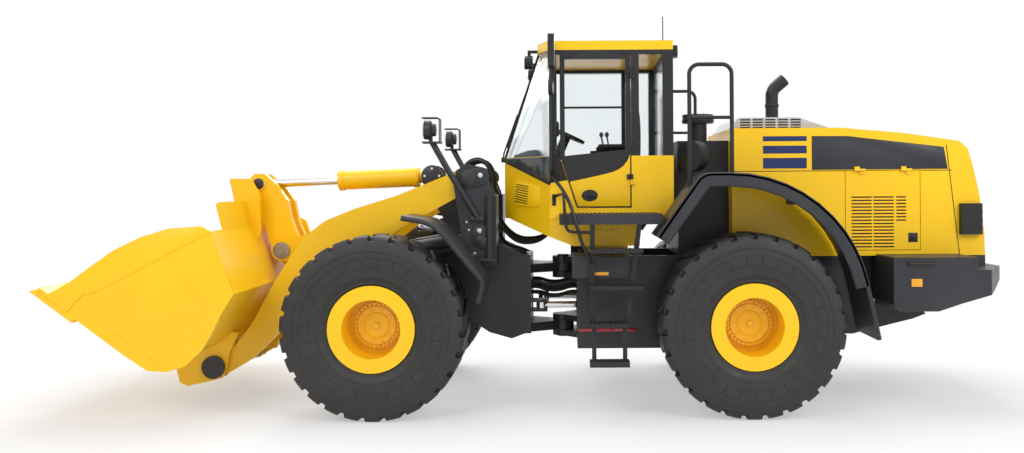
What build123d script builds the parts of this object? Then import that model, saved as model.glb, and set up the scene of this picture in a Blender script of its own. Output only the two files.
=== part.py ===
import math
import os
from build123d import *

os.makedirs("parts", exist_ok=True)

# Wheel loader. Millimetres, front toward -X, left side toward -Y, ground at Z = 0.

# Overall layout
wheelbase = 3450.0
hitch_x = 258.0
tread = 2300.0
front_axle_x = hitch_x - wheelbase / 2
rear_axle_x = hitch_x + wheelbase / 2

# Running fits
pin_clearance = 0.06
wheel_gap = 2.0

# Tyres and rims
tyre_radius = 840.0
tyre_half_width = 337.0
rim_seat_radius = 330.0
rim_flange_radius = 394.0
rim_half_width = 310.0
rim_flange_thickness = 22.0
rim_dish_radius = 265.0
rim_disc_depth = 40.0
hub_radius = 215.0
hub_cap_radius = 176.0
wheel_z = tyre_radius

# Axles
spindle_radius = 95.0
spindle_depth = 50.0
axle_tube_radius = 150.0
axle_drum_radius = 205.0
differential_radius = 235.0
axle_pad_top = 1010.0
rear_axle_seat_z = 1080.0

# Work gear pivots
boom_pivot_x = hitch_x - 913.0
boom_pivot_z = 2194.0
boom_pin_radius = 70.0
bucket_pin_x = boom_pivot_x - 2495.0
bucket_pin_z = boom_pivot_z - 1816.0
bucket_pin_radius = 65.0
pin_collar_radius = 110.0
pin_collar_thickness = 35.0
pin_collar_gap = 1.0
bellcrank_pivot_x = boom_pivot_x - 1965.0
bellcrank_pivot_z = boom_pivot_z - 714.0
bellcrank_pin_radius = 85.0
bellcrank_boss_radius = 107.0
tilt_base_x = boom_pivot_x - 433.0
tilt_base_z = boom_pivot_z + 41.0
lift_base_x = boom_pivot_x + 120.0
lift_base_z = boom_pivot_z - 584.0
lift_eye_x = boom_pivot_x - 1175.0
lift_eye_z = boom_pivot_z - 804.0

# Boom
boom_arm_inner = 575.0
boom_arm_thickness = 65.0
boom_arm_outer = boom_arm_inner + boom_arm_thickness
cross_tube_radius = 140.0
bellcrank_bracket_inner = 185.0
bellcrank_bracket_thickness = 50.0

# Bellcrank and link
bellcrank_plate_inner = 90.0
bellcrank_plate_outer = 165.0
bellcrank_top_dx = -248.0
bellcrank_top_dz = 684.0
bellcrank_low_dx = 582.0
bellcrank_low_dz = -577.0
link_pin_radius = 45.0
link_half_width = 70.0
bucket_ear_dx = 390.0
bucket_ear_dz = 182.0

# Bucket
bucket_half_width = 1585.0
bucket_side_thickness = 40.0
bucket_shell_thickness = 35.0
edge_thickness = 45.0
edge_reach = 41.2

# Cylinders
tilt_barrel_radius = 100.0
tilt_rod_radius = 42.0
lift_barrel_radius = 85.0
lift_rod_radius = 50.0
lift_offset_y = 485.0
steer_barrel_radius = 58.0
steer_rod_radius = 32.0
steer_z = 930.0
steer_front_x = 40.0
steer_front_y = 400.0
steer_rear_x = 1250.0
steer_rear_y = 320.0

# Front frame
front_plate_inner = 330.0
front_plate_thickness = 60.0
front_plate_outer = front_plate_inner + front_plate_thickness
tower_inner = 655.0
tower_thickness = 45.0
tower_outer = tower_inner + tower_thickness
hitch_pin_radius = 60.0

# Rear frame
chassis_inner = 540.0
chassis_thickness = 60.0
chassis_outer = chassis_inner + chassis_thickness
chassis_front_x = hitch_x + 140.0
chassis_top_z = 1430.0
counterweight_front_x = 3290.0
counterweight_low_z = 950.0
counterweight_half_width = 1280.0
rear_end_x = 4456.0

# Hinges of the doors
knuckle_radius = 14.0
knuckle_length = 50.0
knuckle_gap = 1.0
hinge_pin_radius = 7.0
hinge_offset = 16.0

# Hood
hood_half_width = 780.0
hood_skin = 40.0
hood_front_x = 1900.0
hood_top_z = 2670.0
hood_door_front_x = 2990.0
hood_door_rear_x = 3721.0
hood_door_low_z = 1480.0
hood_door_top_z = 2258.0
door_gap = 6.0

# Cab
cab_half_width = 830.0
cab_wall = 60.0
cab_floor_z = 1800.0
cab_belt_z = 2410.0
cab_roof_low_z = 3430.0
cab_roof_top_z = 3518.0
cab_front_x = -326.0
cab_post_x = 135.0
cab_door_front_x = 232.0
cab_door_rear_x = 925.0
cab_rear_x = 1330.0
nose_half_width = 300.0
glass_thickness = 12.0

# Access
platform_top_z = 1860.0
platform_thickness = 95.0
platform_outer = 1300.0
ladder_y = 1290.0
fender_half_width = 1480.0
front_fender_outer = 1420.0
step_depth = 200.0


def side_shape(points, y_low, y_high, mode=Mode.ADD):
    with BuildSketch(Plane.XZ.offset(-y_high)) as outline:
        with BuildLine():
            Polyline(*points, close=True)
        make_face()
    extrude(outline.sketch, amount=y_high - y_low, mode=mode)


def pair_shape(points, y_inner, y_outer, mode=Mode.ADD):
    side_shape(points, -y_outer, -y_inner, mode)
    side_shape(points, y_inner, y_outer, mode)


def plan_shape(points, z_low, z_high, mode=Mode.ADD):
    with BuildSketch(Plane.XY.offset(z_low)) as outline:
        with BuildLine():
            Polyline(*points, close=True)
        make_face()
    extrude(outline.sketch, amount=z_high - z_low, mode=mode)


def block(x_low, x_high, y_low, y_high, z_low, z_high, mode=Mode.ADD):
    with BuildSketch(Plane.XY.offset(z_low)) as outline:
        with Locations(((x_low + x_high) / 2, (y_low + y_high) / 2)):
            Rectangle(x_high - x_low, y_high - y_low)
    extrude(outline.sketch, amount=z_high - z_low, mode=mode)


def pair_block(x_low, x_high, y_inner, y_outer, z_low, z_high, mode=Mode.ADD):
    block(x_low, x_high, -y_outer, -y_inner, z_low, z_high, mode)
    block(x_low, x_high, y_inner, y_outer, z_low, z_high, mode)


def cross_pin(x, z, radius, y_low, y_high, mode=Mode.ADD):
    with BuildSketch(Plane.XZ.offset(-y_high)) as outline:
        with Locations((x, z)):
            Circle(radius)
    extrude(outline.sketch, amount=y_high - y_low, mode=mode)


def pair_pin(x, z, radius, y_inner, y_outer, mode=Mode.ADD):
    cross_pin(x, z, radius, -y_outer, -y_inner, mode)
    cross_pin(x, z, radius, y_inner, y_outer, mode)


def upright(x, y, radius, z_low, z_high, mode=Mode.ADD):
    with BuildSketch(Plane.XY.offset(z_low)) as outline:
        with Locations((x, y)):
            Circle(radius)
    extrude(outline.sketch, amount=z_high - z_low, mode=mode)


def rod(start, end, radius, mode=Mode.ADD):
    way = Vector(*end) - Vector(*start)
    with BuildSketch(Plane(origin=start, z_dir=way)) as outline:
        Circle(radius)
    extrude(outline.sketch, amount=way.length, mode=mode)


def pipe(points, radius, bend):
    with BuildLine() as path:
        FilletPolyline(*points, radius=bend)
    start = Vector(*points[0])
    with BuildSketch(Plane(origin=start, z_dir=Vector(*points[1]) - start)) as outline:
        Circle(radius)
    sweep(outline.sketch, path=path.line)


def along(start, end, distance):
    way = Vector(*end) - Vector(*start)
    return tuple(Vector(*start) + way * (distance / way.length))


def save(solid, name):
    solid.label = name
    export_step(solid, "parts/" + name + ".step")


# Tyre and rim, drawn at the left front wheel and copied to the other three
tyre_profile = [
    (rim_seat_radius, 285), (398, 288), (470, 325), (600, tyre_half_width), (740, 325), (805, 305),
    (tyre_radius, 262), (tyre_radius, -262), (805, -305), (740, -325), (600, -tyre_half_width), (470, -325),
    (398, -288), (rim_seat_radius, -285),
]
with BuildPart() as tyre:
    with BuildSketch(Plane.XY) as tyre_outline:
        with BuildLine():
            Polyline(*tyre_profile, close=True)
        make_face()
    revolve(axis=Axis.Y)

rim_back = rim_disc_depth + 30
rim_profile = [
    (0, -25), (hub_cap_radius, -25), (hub_cap_radius, -5), (hub_radius, -5), (hub_radius, rim_disc_depth - 10),
    (rim_dish_radius, rim_disc_depth - 10), (rim_dish_radius, -rim_half_width),
    (rim_flange_radius, -rim_half_width), (rim_flange_radius, -rim_half_width + rim_flange_thickness),
    (rim_seat_radius, -rim_half_width + rim_flange_thickness),
    (rim_seat_radius, rim_half_width - rim_flange_thickness),
    (rim_flange_radius, rim_half_width - rim_flange_thickness), (rim_flange_radius, rim_half_width),
    (rim_seat_radius - 30, rim_half_width), (rim_seat_radius - 30, rim_back),
    (spindle_radius + pin_clearance, rim_back), (spindle_radius + pin_clearance, rim_back - spindle_depth),
    (0, rim_back - spindle_depth),
]
with BuildPart() as rim:
    with BuildSketch(Plane.XY) as rim_outline:
        with BuildLine():
            Polyline(*rim_profile, close=True)
        make_face()
    revolve(axis=Axis.Y)

wheel_places = [
    ("front_left", front_axle_x, -tread / 2, 0),
    ("front_right", front_axle_x, tread / 2, 180),
    ("rear_left", rear_axle_x, -tread / 2, 0),
    ("rear_right", rear_axle_x, tread / 2, 180),
]
for place, wheel_x, wheel_y, turn in wheel_places:
    wheel_location = Location((wheel_x, wheel_y, wheel_z), (0, 0, turn))
    save(tyre.part.moved(wheel_location), "tyre_" + place)
    save(rim.part.moved(wheel_location), "rim_" + place)

# Front axle with its pads up to the front frame
axle_end_y = tread / 2 - rim_back - wheel_gap
spindle_end_y = tread / 2 - rim_back + spindle_depth - 10
with BuildPart() as front_axle:
    cross_pin(front_axle_x, wheel_z, axle_tube_radius, -axle_end_y, axle_end_y)
    cross_pin(front_axle_x, wheel_z, spindle_radius, -spindle_end_y, spindle_end_y)
    cross_pin(front_axle_x, wheel_z, differential_radius, -170, 170)
    pair_pin(front_axle_x, wheel_z, axle_drum_radius, 690, 880)
    pair_block(front_axle_x - 190, front_axle_x + 190, front_plate_inner, front_plate_outer + 40, wheel_z, axle_pad_top)
    rod((front_axle_x + 150, 0, wheel_z), (front_axle_x + 420, 0, wheel_z + 40), 90)
save(front_axle.part, "front_axle")

# Rear axle with the saddle that it rocks in
with BuildPart() as rear_axle:
    cross_pin(rear_axle_x, wheel_z, axle_tube_radius, -axle_end_y, axle_end_y)
    cross_pin(rear_axle_x, wheel_z, spindle_radius, -spindle_end_y, spindle_end_y)
    cross_pin(rear_axle_x, wheel_z, differential_radius, -170, 170)
    pair_pin(rear_axle_x, wheel_z, axle_drum_radius, 690, 880)
    block(rear_axle_x - 330, rear_axle_x + 330, -150, 150, wheel_z + 60, rear_axle_seat_z)
save(rear_axle.part, "rear_axle")

# Front frame: inner plates, towers, hitch lugs and pins
front_back_x = hitch_x - 324.0
front_plate_points = [
    (hitch_x - 384, 640), (hitch_x - 384, 1430), (hitch_x - 663, 1560), (boom_pivot_x + 228, 2060),
    (boom_pivot_x + 130, boom_pivot_z + 110), (boom_pivot_x, boom_pivot_z + 150),
    (boom_pivot_x - 120, boom_pivot_z + 90), (boom_pivot_x - 150, boom_pivot_z - 60),
    (boom_pivot_x - 300, 1500), (front_axle_x - 230, 1280), (front_axle_x - 300, axle_pad_top),
    (front_axle_x + 300, axle_pad_top), (front_axle_x + 620, 900), (hitch_x - 746, 656), (hitch_x - 519, 590),
]
tower_points = [
    (boom_pivot_x + 130, boom_pivot_z + 110), (boom_pivot_x, boom_pivot_z + 150),
    (boom_pivot_x - 120, boom_pivot_z + 90), (boom_pivot_x - 150, boom_pivot_z - 60), (boom_pivot_x - 110, 1900),
    (boom_pivot_x - 40, 1390), (hitch_x - 640, 1390), (hitch_x - 663, 1560), (boom_pivot_x + 228, 2060),
]
upper_lug_low = 1240.0
upper_lug_high = 1330.0
lower_lug_low = 640.0
lower_lug_high = 730.0
lug_points = [(front_back_x - 30, -300), (hitch_x - 60, -110), (hitch_x - 60, 110), (front_back_x - 30, 300)]
with BuildPart() as front_frame:
    pair_shape(front_plate_points, front_plate_inner, front_plate_outer)
    pair_shape(tower_points, tower_inner, tower_outer)
    pair_block(boom_pivot_x + 225, boom_pivot_x + 265, front_plate_inner, tower_outer, 1390, 2040)
    pair_block(boom_pivot_x - 40, boom_pivot_x + 265, front_plate_inner, tower_outer, 1350, 1400)
    pair_pin(boom_pivot_x, boom_pivot_z, boom_pin_radius, front_plate_inner, tower_outer + 12)
    pair_pin(lift_base_x, lift_base_z, 50, front_plate_inner, tower_outer + 12)
    block(front_back_x - 60, front_back_x, -front_plate_outer, front_plate_outer, 640, 1430)
    upright_hole_z = wheel_z + 40
    rod((front_back_x - 100, 0, upright_hole_z), (front_back_x + 100, 0, upright_hole_z), 140, Mode.SUBTRACT)
    block(boom_pivot_x - 330, boom_pivot_x - 60, -front_plate_inner, front_plate_inner, 1700, 1800)
    tilt_ear_points = [
        (tilt_base_x - 80, tilt_base_z + 70), (tilt_base_x + 80, tilt_base_z + 70), (tilt_base_x + 370, 1800),
        (tilt_base_x + 110, 1800), (tilt_base_x - 105, tilt_base_z - 60),
    ]
    pair_shape(tilt_ear_points, 80, 130)
    cross_pin(tilt_base_x, tilt_base_z, 50, -130, 130)
    plan_shape(lug_points, upper_lug_low, upper_lug_high)
    plan_shape(lug_points, lower_lug_low, lower_lug_high)
    upright(hitch_x, 0, 110, upper_lug_low, upper_lug_high)
    upright(hitch_x, 0, 110, lower_lug_low, lower_lug_high)
    upright(hitch_x, 0, hitch_pin_radius + pin_clearance, 600, 1400, Mode.SUBTRACT)
    steer_ear_top = steer_z + 33
    steer_ear_low = steer_z - 33
    pair_block(front_back_x, steer_front_x + 60, 330, 470, steer_ear_top, steer_ear_top + 28)
    pair_block(front_back_x, steer_front_x + 60, 330, 470, steer_ear_low - 28, steer_ear_low)
save(front_frame.part, "front_frame")

# Front fenders on the towers
front_fender_points = [
    (front_axle_x + 269, 1863), (front_axle_x + 545, 1816), (front_axle_x + 782, 1620), (front_axle_x + 960, 1386),
    (front_axle_x + 1035, 1229), (front_axle_x + 1001, 1062), (front_axle_x + 952, 1071),
    (front_axle_x + 985, 1225), (front_axle_x + 915, 1365), (front_axle_x + 745, 1585),
    (front_axle_x + 520, 1770), (front_axle_x + 265, 1815),
]
with BuildPart() as front_fenders:
    pair_shape(front_fender_points, tower_outer, front_fender_outer)
save(front_fenders.part, "front_fenders")

# Lamp posts on the towers
with BuildPart() as front_lamps:
    for side in (-1, 1):
        post_y = side * (tower_outer + 30)
        rod((boom_pivot_x + 85, post_y, 1820), (boom_pivot_x - 160, side * 820, 2230), 30)
        rod((boom_pivot_x - 160, side * 820, 2230), (boom_pivot_x - 330, side * 870, 2545), 30)
        block(boom_pivot_x - 430, boom_pivot_x - 270, side * 870 - 110, side * 870 + 110, 2530, 2786)
save(front_lamps.part, "front_lamps")

# Boom: two arms, cross tube, bellcrank brackets
arm_points = [
    (boom_pivot_x + 60, boom_pivot_z + 115), (boom_pivot_x - 60, boom_pivot_z + 115),
    (boom_pivot_x - 243, boom_pivot_z + 31), (boom_pivot_x - 718, 2036), (boom_pivot_x - 1130, 1910),
    (boom_pivot_x - 1419, 1794), (boom_pivot_x - 1640, 1628), (boom_pivot_x - 1930, 1180),
    (boom_pivot_x - 2135, 795), (bucket_pin_x + 85, bucket_pin_z + 75), (bucket_pin_x - 20, bucket_pin_z + 110),
    (bucket_pin_x - 110, bucket_pin_z + 10), (bucket_pin_x - 60, bucket_pin_z - 95),
    (bucket_pin_x + 100, bucket_pin_z - 85), (boom_pivot_x - 2125, 450), (boom_pivot_x - 1864, 715),
    (boom_pivot_x - 1230, 1270), (boom_pivot_x - 675, 1716), (boom_pivot_x - 87, 2035),
    (boom_pivot_x + 90, boom_pivot_z - 85), (boom_pivot_x + 125, boom_pivot_z + 20),
]
cross_tube_x = boom_pivot_x - 1245.0
cross_tube_z = boom_pivot_z - 554.0
bracket_points = [
    (cross_tube_x + 30, cross_tube_z + 135), (bellcrank_pivot_x + 40, bellcrank_pivot_z + 110),
    (bellcrank_pivot_x - 10, bellcrank_pivot_z + 106), (bellcrank_pivot_x - 10, bellcrank_pivot_z - 106),
    (bellcrank_pivot_x + 40, bellcrank_pivot_z - 110), (cross_tube_x + 30, cross_tube_z - 135),
]
with BuildPart() as boom:
    pair_shape(arm_points, boom_arm_inner, boom_arm_outer)
    cross_pin(cross_tube_x, cross_tube_z, cross_tube_radius, -boom_arm_inner - 5, boom_arm_inner + 5)
    bracket_outer = bellcrank_bracket_inner + bellcrank_bracket_thickness
    pair_shape(bracket_points, bellcrank_bracket_inner, bracket_outer)
    pair_pin(
        bellcrank_pivot_x, bellcrank_pivot_z, bellcrank_boss_radius, bellcrank_bracket_inner, bracket_outer,
    )
    pair_pin(boom_pivot_x, boom_pivot_z, boom_pin_radius + pin_clearance, 500, 700, Mode.SUBTRACT)
    pair_pin(bucket_pin_x, bucket_pin_z, bucket_pin_radius + pin_clearance, 500, 700, Mode.SUBTRACT)
    cross_pin(bellcrank_pivot_x, bellcrank_pivot_z, bellcrank_pin_radius + pin_clearance, -260, 260, Mode.SUBTRACT)
save(boom.part, "boom")

# Pin of the bellcrank
with BuildPart() as bellcrank_pin:
    cross_pin(bellcrank_pivot_x, bellcrank_pivot_z, bellcrank_pin_radius, -bracket_outer - 15, bracket_outer + 15)
save(bellcrank_pin.part, "bellcrank_pin")

# Bellcrank: two cheeks, forked at both ends, round a boss at the pivot
top_x = bellcrank_pivot_x + bellcrank_top_dx
top_z = bellcrank_pivot_z + bellcrank_top_dz
low_x = bellcrank_pivot_x + bellcrank_low_dx
low_z = bellcrank_pivot_z + bellcrank_low_dz
bellcrank_points = [
    (top_x - 95, top_z + 55), (top_x - 40, top_z + 105), (top_x + 60, top_z + 100), (top_x + 175, top_z - 3),
    (top_x + 295, top_z - 177), (top_x + 333, top_z - 379), (bellcrank_pivot_x + 175, bellcrank_pivot_z + 80),
    (low_x + 75, low_z + 80), (low_x + 100, low_z - 20), (low_x + 20, low_z - 100), (low_x - 80, low_z - 70),
    (bellcrank_pivot_x - 15, bellcrank_pivot_z - 125), (bellcrank_pivot_x - 75, bellcrank_pivot_z - 75),
    (bellcrank_pivot_x - 105, bellcrank_pivot_z), (bellcrank_pivot_x - 150, bellcrank_pivot_z + 101),
    (bellcrank_pivot_x - 255, bellcrank_pivot_z + 505),
    (top_x - 95, top_z),
]
web_points = [
    (bellcrank_pivot_x - 180, bellcrank_pivot_z + 330), (bellcrank_pivot_x + 40, bellcrank_pivot_z + 330),
    (bellcrank_pivot_x + 130, bellcrank_pivot_z + 60), (bellcrank_pivot_x + 60, bellcrank_pivot_z - 140),
    (bellcrank_pivot_x - 10, bellcrank_pivot_z - 120), (bellcrank_pivot_x - 75, bellcrank_pivot_z - 70),
    (bellcrank_pivot_x - 100, bellcrank_pivot_z),
]
with BuildPart() as bellcrank:
    pair_shape(bellcrank_points, bellcrank_plate_inner, bellcrank_plate_outer)
    side_shape(web_points, -bellcrank_plate_inner, bellcrank_plate_inner)
    cross_pin(
        bellcrank_pivot_x, bellcrank_pivot_z, bellcrank_boss_radius, -bellcrank_plate_outer, bellcrank_plate_outer,
    )
    cross_pin(
        bellcrank_pivot_x, bellcrank_pivot_z, bellcrank_pin_radius + pin_clearance,
        -bellcrank_plate_outer, bellcrank_plate_outer, Mode.SUBTRACT,
    )
    cross_pin(low_x, low_z, link_pin_radius, -bellcrank_plate_outer - 12, bellcrank_plate_outer + 12)
    pair_pin(top_x, top_z, 70, bellcrank_plate_outer, bellcrank_plate_outer + 18)
save(bellcrank.part, "bellcrank")

# Link from the bellcrank's foot to the bucket's ear
bucket_eye_x = bucket_pin_x + bucket_ear_dx
bucket_eye_z = bucket_pin_z + bucket_ear_dz
with BuildPart() as bucket_link:
    cross_pin(low_x, low_z, 92, -link_half_width, link_half_width)
    cross_pin(bucket_eye_x, bucket_eye_z, 88, -link_half_width, link_half_width)
    link_way = Vector(bucket_eye_x - low_x, bucket_eye_z - low_z).normalized()
    link_side = Vector(-link_way.Y, link_way.X)
    link_points = [
        (low_x + link_side.X * 62, low_z + link_side.Y * 62),
        (bucket_eye_x + link_side.X * 62, bucket_eye_z + link_side.Y * 62),
        (bucket_eye_x - link_side.X * 62, bucket_eye_z - link_side.Y * 62),
        (low_x - link_side.X * 62, low_z - link_side.Y * 62),
    ]
    side_shape(link_points, -link_half_width, link_half_width)
    cross_pin(
        low_x, low_z, link_pin_radius + pin_clearance, -link_half_width, link_half_width, Mode.SUBTRACT,
    )
save(bucket_link.part, "bucket_link")

# Bucket pins
ear_inner = boom_arm_inner - 60.0
ear_outer = boom_arm_outer + 60.0
with BuildPart() as bucket_pins:
    collar_inner = ear_inner - pin_collar_gap
    collar_outer = ear_outer + pin_collar_gap
    pair_pin(bucket_pin_x, bucket_pin_z, bucket_pin_radius, collar_inner, collar_outer)
    pair_pin(bucket_pin_x, bucket_pin_z, pin_collar_radius, collar_inner - pin_collar_thickness, collar_inner)
    pair_pin(bucket_pin_x, bucket_pin_z, pin_collar_radius, collar_outer, collar_outer + pin_collar_thickness)
save(bucket_pins.part, "bucket_pins")


def bucket_point(dx, dz):
    return (bucket_pin_x + dx, bucket_pin_z + dz)


# Bucket: shell, side plates, spill guard, hinge ears and link ears
lip = bucket_point(-1246, 845)
heel = bucket_point(-83, -31)
ridge = bucket_point(497, 802)
shell_top = bucket_point(245, 1356)
heel_radius = 475.0


def shifted(start, end, distance):
    way = Vector(end[0] - start[0], end[1] - start[1]).normalized()
    side = Vector(-way.Y, way.X) * distance
    return (start[0] + side.X, start[1] + side.Y), (end[0] + side.X, end[1] + side.Y)


def meet(line_one, line_two):
    (ax, az), (bx, bz) = line_one
    (cx, cz), (dx, dz) = line_two
    bottom = (ax - bx) * (cz - dz) - (az - bz) * (cx - dx)
    one = ax * bz - az * bx
    two = cx * dz - cz * dx
    return ((one * (cx - dx) - (ax - bx) * two) / bottom, (one * (cz - dz) - (az - bz) * two) / bottom)


floor_inner = shifted(lip, heel, bucket_shell_thickness)
back_inner = shifted(heel, ridge, bucket_shell_thickness)
wall_inner = shifted(ridge, shell_top, bucket_shell_thickness)
heel_inner = meet(floor_inner, back_inner)
ridge_inner = meet(back_inner, wall_inner)
bucket_side_points = [
    bucket_point(-1246, 845), bucket_point(-1133, 814), bucket_point(-939, 925), bucket_point(-745, 1070),
    bucket_point(-543, 1207), bucket_point(-307, 1318), bucket_point(-71, 1387), bucket_point(217, 1406),
    bucket_point(300, 1356), ridge, bucket_point(391, 637), bucket_point(290, 434), bucket_point(207, 298),
    bucket_point(55, 162), bucket_point(-97, 118), bucket_point(-266, 126), bucket_point(-368, 192),
]
hinge_ear_points = [
    bucket_point(-430, 250), bucket_point(-335, -150), bucket_point(-260, -185), bucket_point(-80, -147),
    bucket_point(75, -110), bucket_point(130, 0), bucket_point(150, 140), bucket_point(240, 330),
    bucket_point(165, 345), bucket_point(20, 235), bucket_point(-110, 192), bucket_point(-270, 185),
]
link_ear_points = [
    bucket_point(5, 228), bucket_point(320, 85), bucket_point(440, 90), bucket_point(480, 200),
    bucket_point(455, 560), bucket_point(300, 560), bucket_point(255, 485), bucket_point(135, 320),
]
guard_points = [
    bucket_point(220, 1315), bucket_point(150, 1590), bucket_point(190, 1612), bucket_point(255, 1325),
]
raised_guard_points = [
    bucket_point(220, 1315), bucket_point(90, 1560), bucket_point(30, 1838), bucket_point(70, 1838),
    bucket_point(130, 1570), bucket_point(255, 1325),
]
cheek_points = [
    bucket_point(105, 1560), bucket_point(50, 1838), bucket_point(250, 1838), bucket_point(340, 1676),
    bucket_point(350, 1300), bucket_point(310, 1180), bucket_point(240, 1320),
]
guard_half_width = 1050.0
raised_half_width = 300.0
with BuildPart() as bucket:
    with BuildSketch(Plane.XZ.offset(-bucket_half_width)) as shell_outline:
        with BuildLine():
            FilletPolyline(lip, heel, ridge, radius=heel_radius)
            Line(ridge, shell_top)
            Line(shell_top, wall_inner[1])
            Line(wall_inner[1], ridge_inner)
            FilletPolyline(ridge_inner, heel_inner, floor_inner[0], radius=heel_radius - bucket_shell_thickness)
            Line(floor_inner[0], lip)
        make_face()
    extrude(amount=2 * bucket_half_width)
    bucket_side_inner = bucket_half_width - bucket_side_thickness
    pair_shape(bucket_side_points, bucket_side_inner, bucket_half_width)
    pair_shape(hinge_ear_points, ear_inner, boom_arm_inner - 8)
    pair_shape(hinge_ear_points, boom_arm_outer + 8, ear_outer)
    pair_shape(link_ear_points, link_half_width + 12, link_half_width + 72)
    pair_shape(guard_points, raised_half_width - 5, guard_half_width)
    side_shape(raised_guard_points, -raised_half_width - 20, raised_half_width + 20)
    pair_shape(cheek_points, raised_half_width, raised_half_width + 40)
    pair_pin(bucket_pin_x, bucket_pin_z, bucket_pin_radius + pin_clearance, ear_inner, ear_outer, Mode.SUBTRACT)
save(bucket.part, "bucket")

# Cutting edge under the lip
edge_way = Vector(lip[0] - heel[0], lip[1] - heel[1]).normalized()
edge_out = Vector(edge_way.Y, -edge_way.X) * -1
edge_start = Vector(lip[0], lip[1]) - edge_way * 420
edge_tip = Vector(lip[0], lip[1]) + edge_way * edge_reach
edge_low = edge_out * edge_thickness
edge_points = [
    (edge_start.X, edge_start.Y), (lip[0], lip[1]), (edge_tip.X + edge_low.X * 0.6, edge_tip.Y + edge_low.Y * 0.6),
    (edge_tip.X + edge_low.X, edge_tip.Y + edge_low.Y), (edge_start.X + edge_low.X, edge_start.Y + edge_low.Y),
]
with BuildPart() as cutting_edge:
    side_shape(edge_points, -bucket_half_width, bucket_half_width)
save(cutting_edge.part, "cutting_edge")

# Tilt cylinder, barrel on the front frame and rod toward the bellcrank's head
tilt_base = (tilt_base_x, 0, tilt_base_z)
tilt_head = (top_x, 0, top_z)
with BuildPart() as tilt_barrel:
    cross_pin(tilt_base_x, tilt_base_z, 92, -72, 72)
    rod(along(tilt_base, tilt_head, 60), along(tilt_base, tilt_head, 160), 65)
    rod(along(tilt_base, tilt_head, 150), along(tilt_base, tilt_head, 990), tilt_barrel_radius)
    cross_pin(tilt_base_x, tilt_base_z, 50 + pin_clearance, -72, 72, Mode.SUBTRACT)
    rod(
        along(tilt_base, tilt_head, 430), along(tilt_base, tilt_head, 1000),
        tilt_rod_radius + pin_clearance, Mode.SUBTRACT,
    )
save(tilt_barrel.part, "tilt_barrel")

with BuildPart() as tilt_rod:
    rod(along(tilt_base, tilt_head, 905), along(tilt_base, tilt_head, 1740), tilt_rod_radius)
    cross_pin(top_x, top_z, 85, -75, 75)
save(tilt_rod.part, "tilt_rod")

# Lift cylinders beside the boom arms
lift_length = math.hypot(lift_eye_x - lift_base_x, lift_eye_z - lift_base_z)
with BuildPart() as lift_barrels:
    for side in (-1, 1):
        lift_base = (lift_base_x, side * lift_offset_y, lift_base_z)
        lift_eye = (lift_eye_x, side * lift_offset_y, lift_eye_z)
        y_mid = side * lift_offset_y
        cross_pin(lift_base_x, lift_base_z, 84, y_mid - 80, y_mid + 80)
        rod(along(lift_base, lift_eye, 60), along(lift_base, lift_eye, 170), 60)
        rod(along(lift_base, lift_eye, 150), along(lift_base, lift_eye, lift_length - 190), lift_barrel_radius)
        cross_pin(lift_base_x, lift_base_z, 50 + pin_clearance, y_mid - 80, y_mid + 80, Mode.SUBTRACT)
        rod(
            along(lift_base, lift_eye, 230), along(lift_base, lift_eye, lift_length),
            lift_rod_radius + pin_clearance, Mode.SUBTRACT,
        )
save(lift_barrels.part, "lift_barrels")

with BuildPart() as lift_rods:
    for side in (-1, 1):
        lift_base = (lift_base_x, side * lift_offset_y, lift_base_z)
        lift_eye = (lift_eye_x, side * lift_offset_y, lift_eye_z)
        y_mid = side * lift_offset_y
        rod(along(lift_base, lift_eye, 340), along(lift_base, lift_eye, lift_length - 20), lift_rod_radius)
        cross_pin(lift_eye_x, lift_eye_z, 80, y_mid - 70, y_mid + 70)
        cross_pin(lift_eye_x, lift_eye_z, 45, y_mid - 88, y_mid + 88)
save(lift_rods.part, "lift_rods")

# Steering cylinders beside the hitch
steer_length = math.hypot(steer_rear_x - steer_front_x, steer_front_y - steer_rear_y)
for side, name in ((-1, "left"), (1, "right")):
    steer_base = (steer_rear_x, side * steer_rear_y, steer_z)
    steer_eye = (steer_front_x, side * steer_front_y, steer_z)
    with BuildPart() as steer_barrel:
        upright(steer_rear_x, side * steer_rear_y, 60, steer_z - 30, steer_z + 30)
        rod(along(steer_base, steer_eye, 40), along(steer_base, steer_eye, 110), 28)
        rod(along(steer_base, steer_eye, 100), along(steer_base, steer_eye, 760), steer_barrel_radius)
        upright(
            steer_rear_x, side * steer_rear_y, 35 + pin_clearance, steer_z - 30, steer_z + 30, Mode.SUBTRACT,
        )
        rod(
            along(steer_base, steer_eye, 140), along(steer_base, steer_eye, 800),
            steer_rod_radius + pin_clearance, Mode.SUBTRACT,
        )
    save(steer_barrel.part, "steer_barrel_" + name)
    with BuildPart() as steer_rod:
        rod(along(steer_base, steer_eye, 500), along(steer_base, steer_eye, steer_length - 20), steer_rod_radius)
        upright(steer_front_x, side * steer_front_y, 52, steer_z - 28, steer_z + 28)
    save(steer_rod.part, "steer_rod_" + name)

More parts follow.
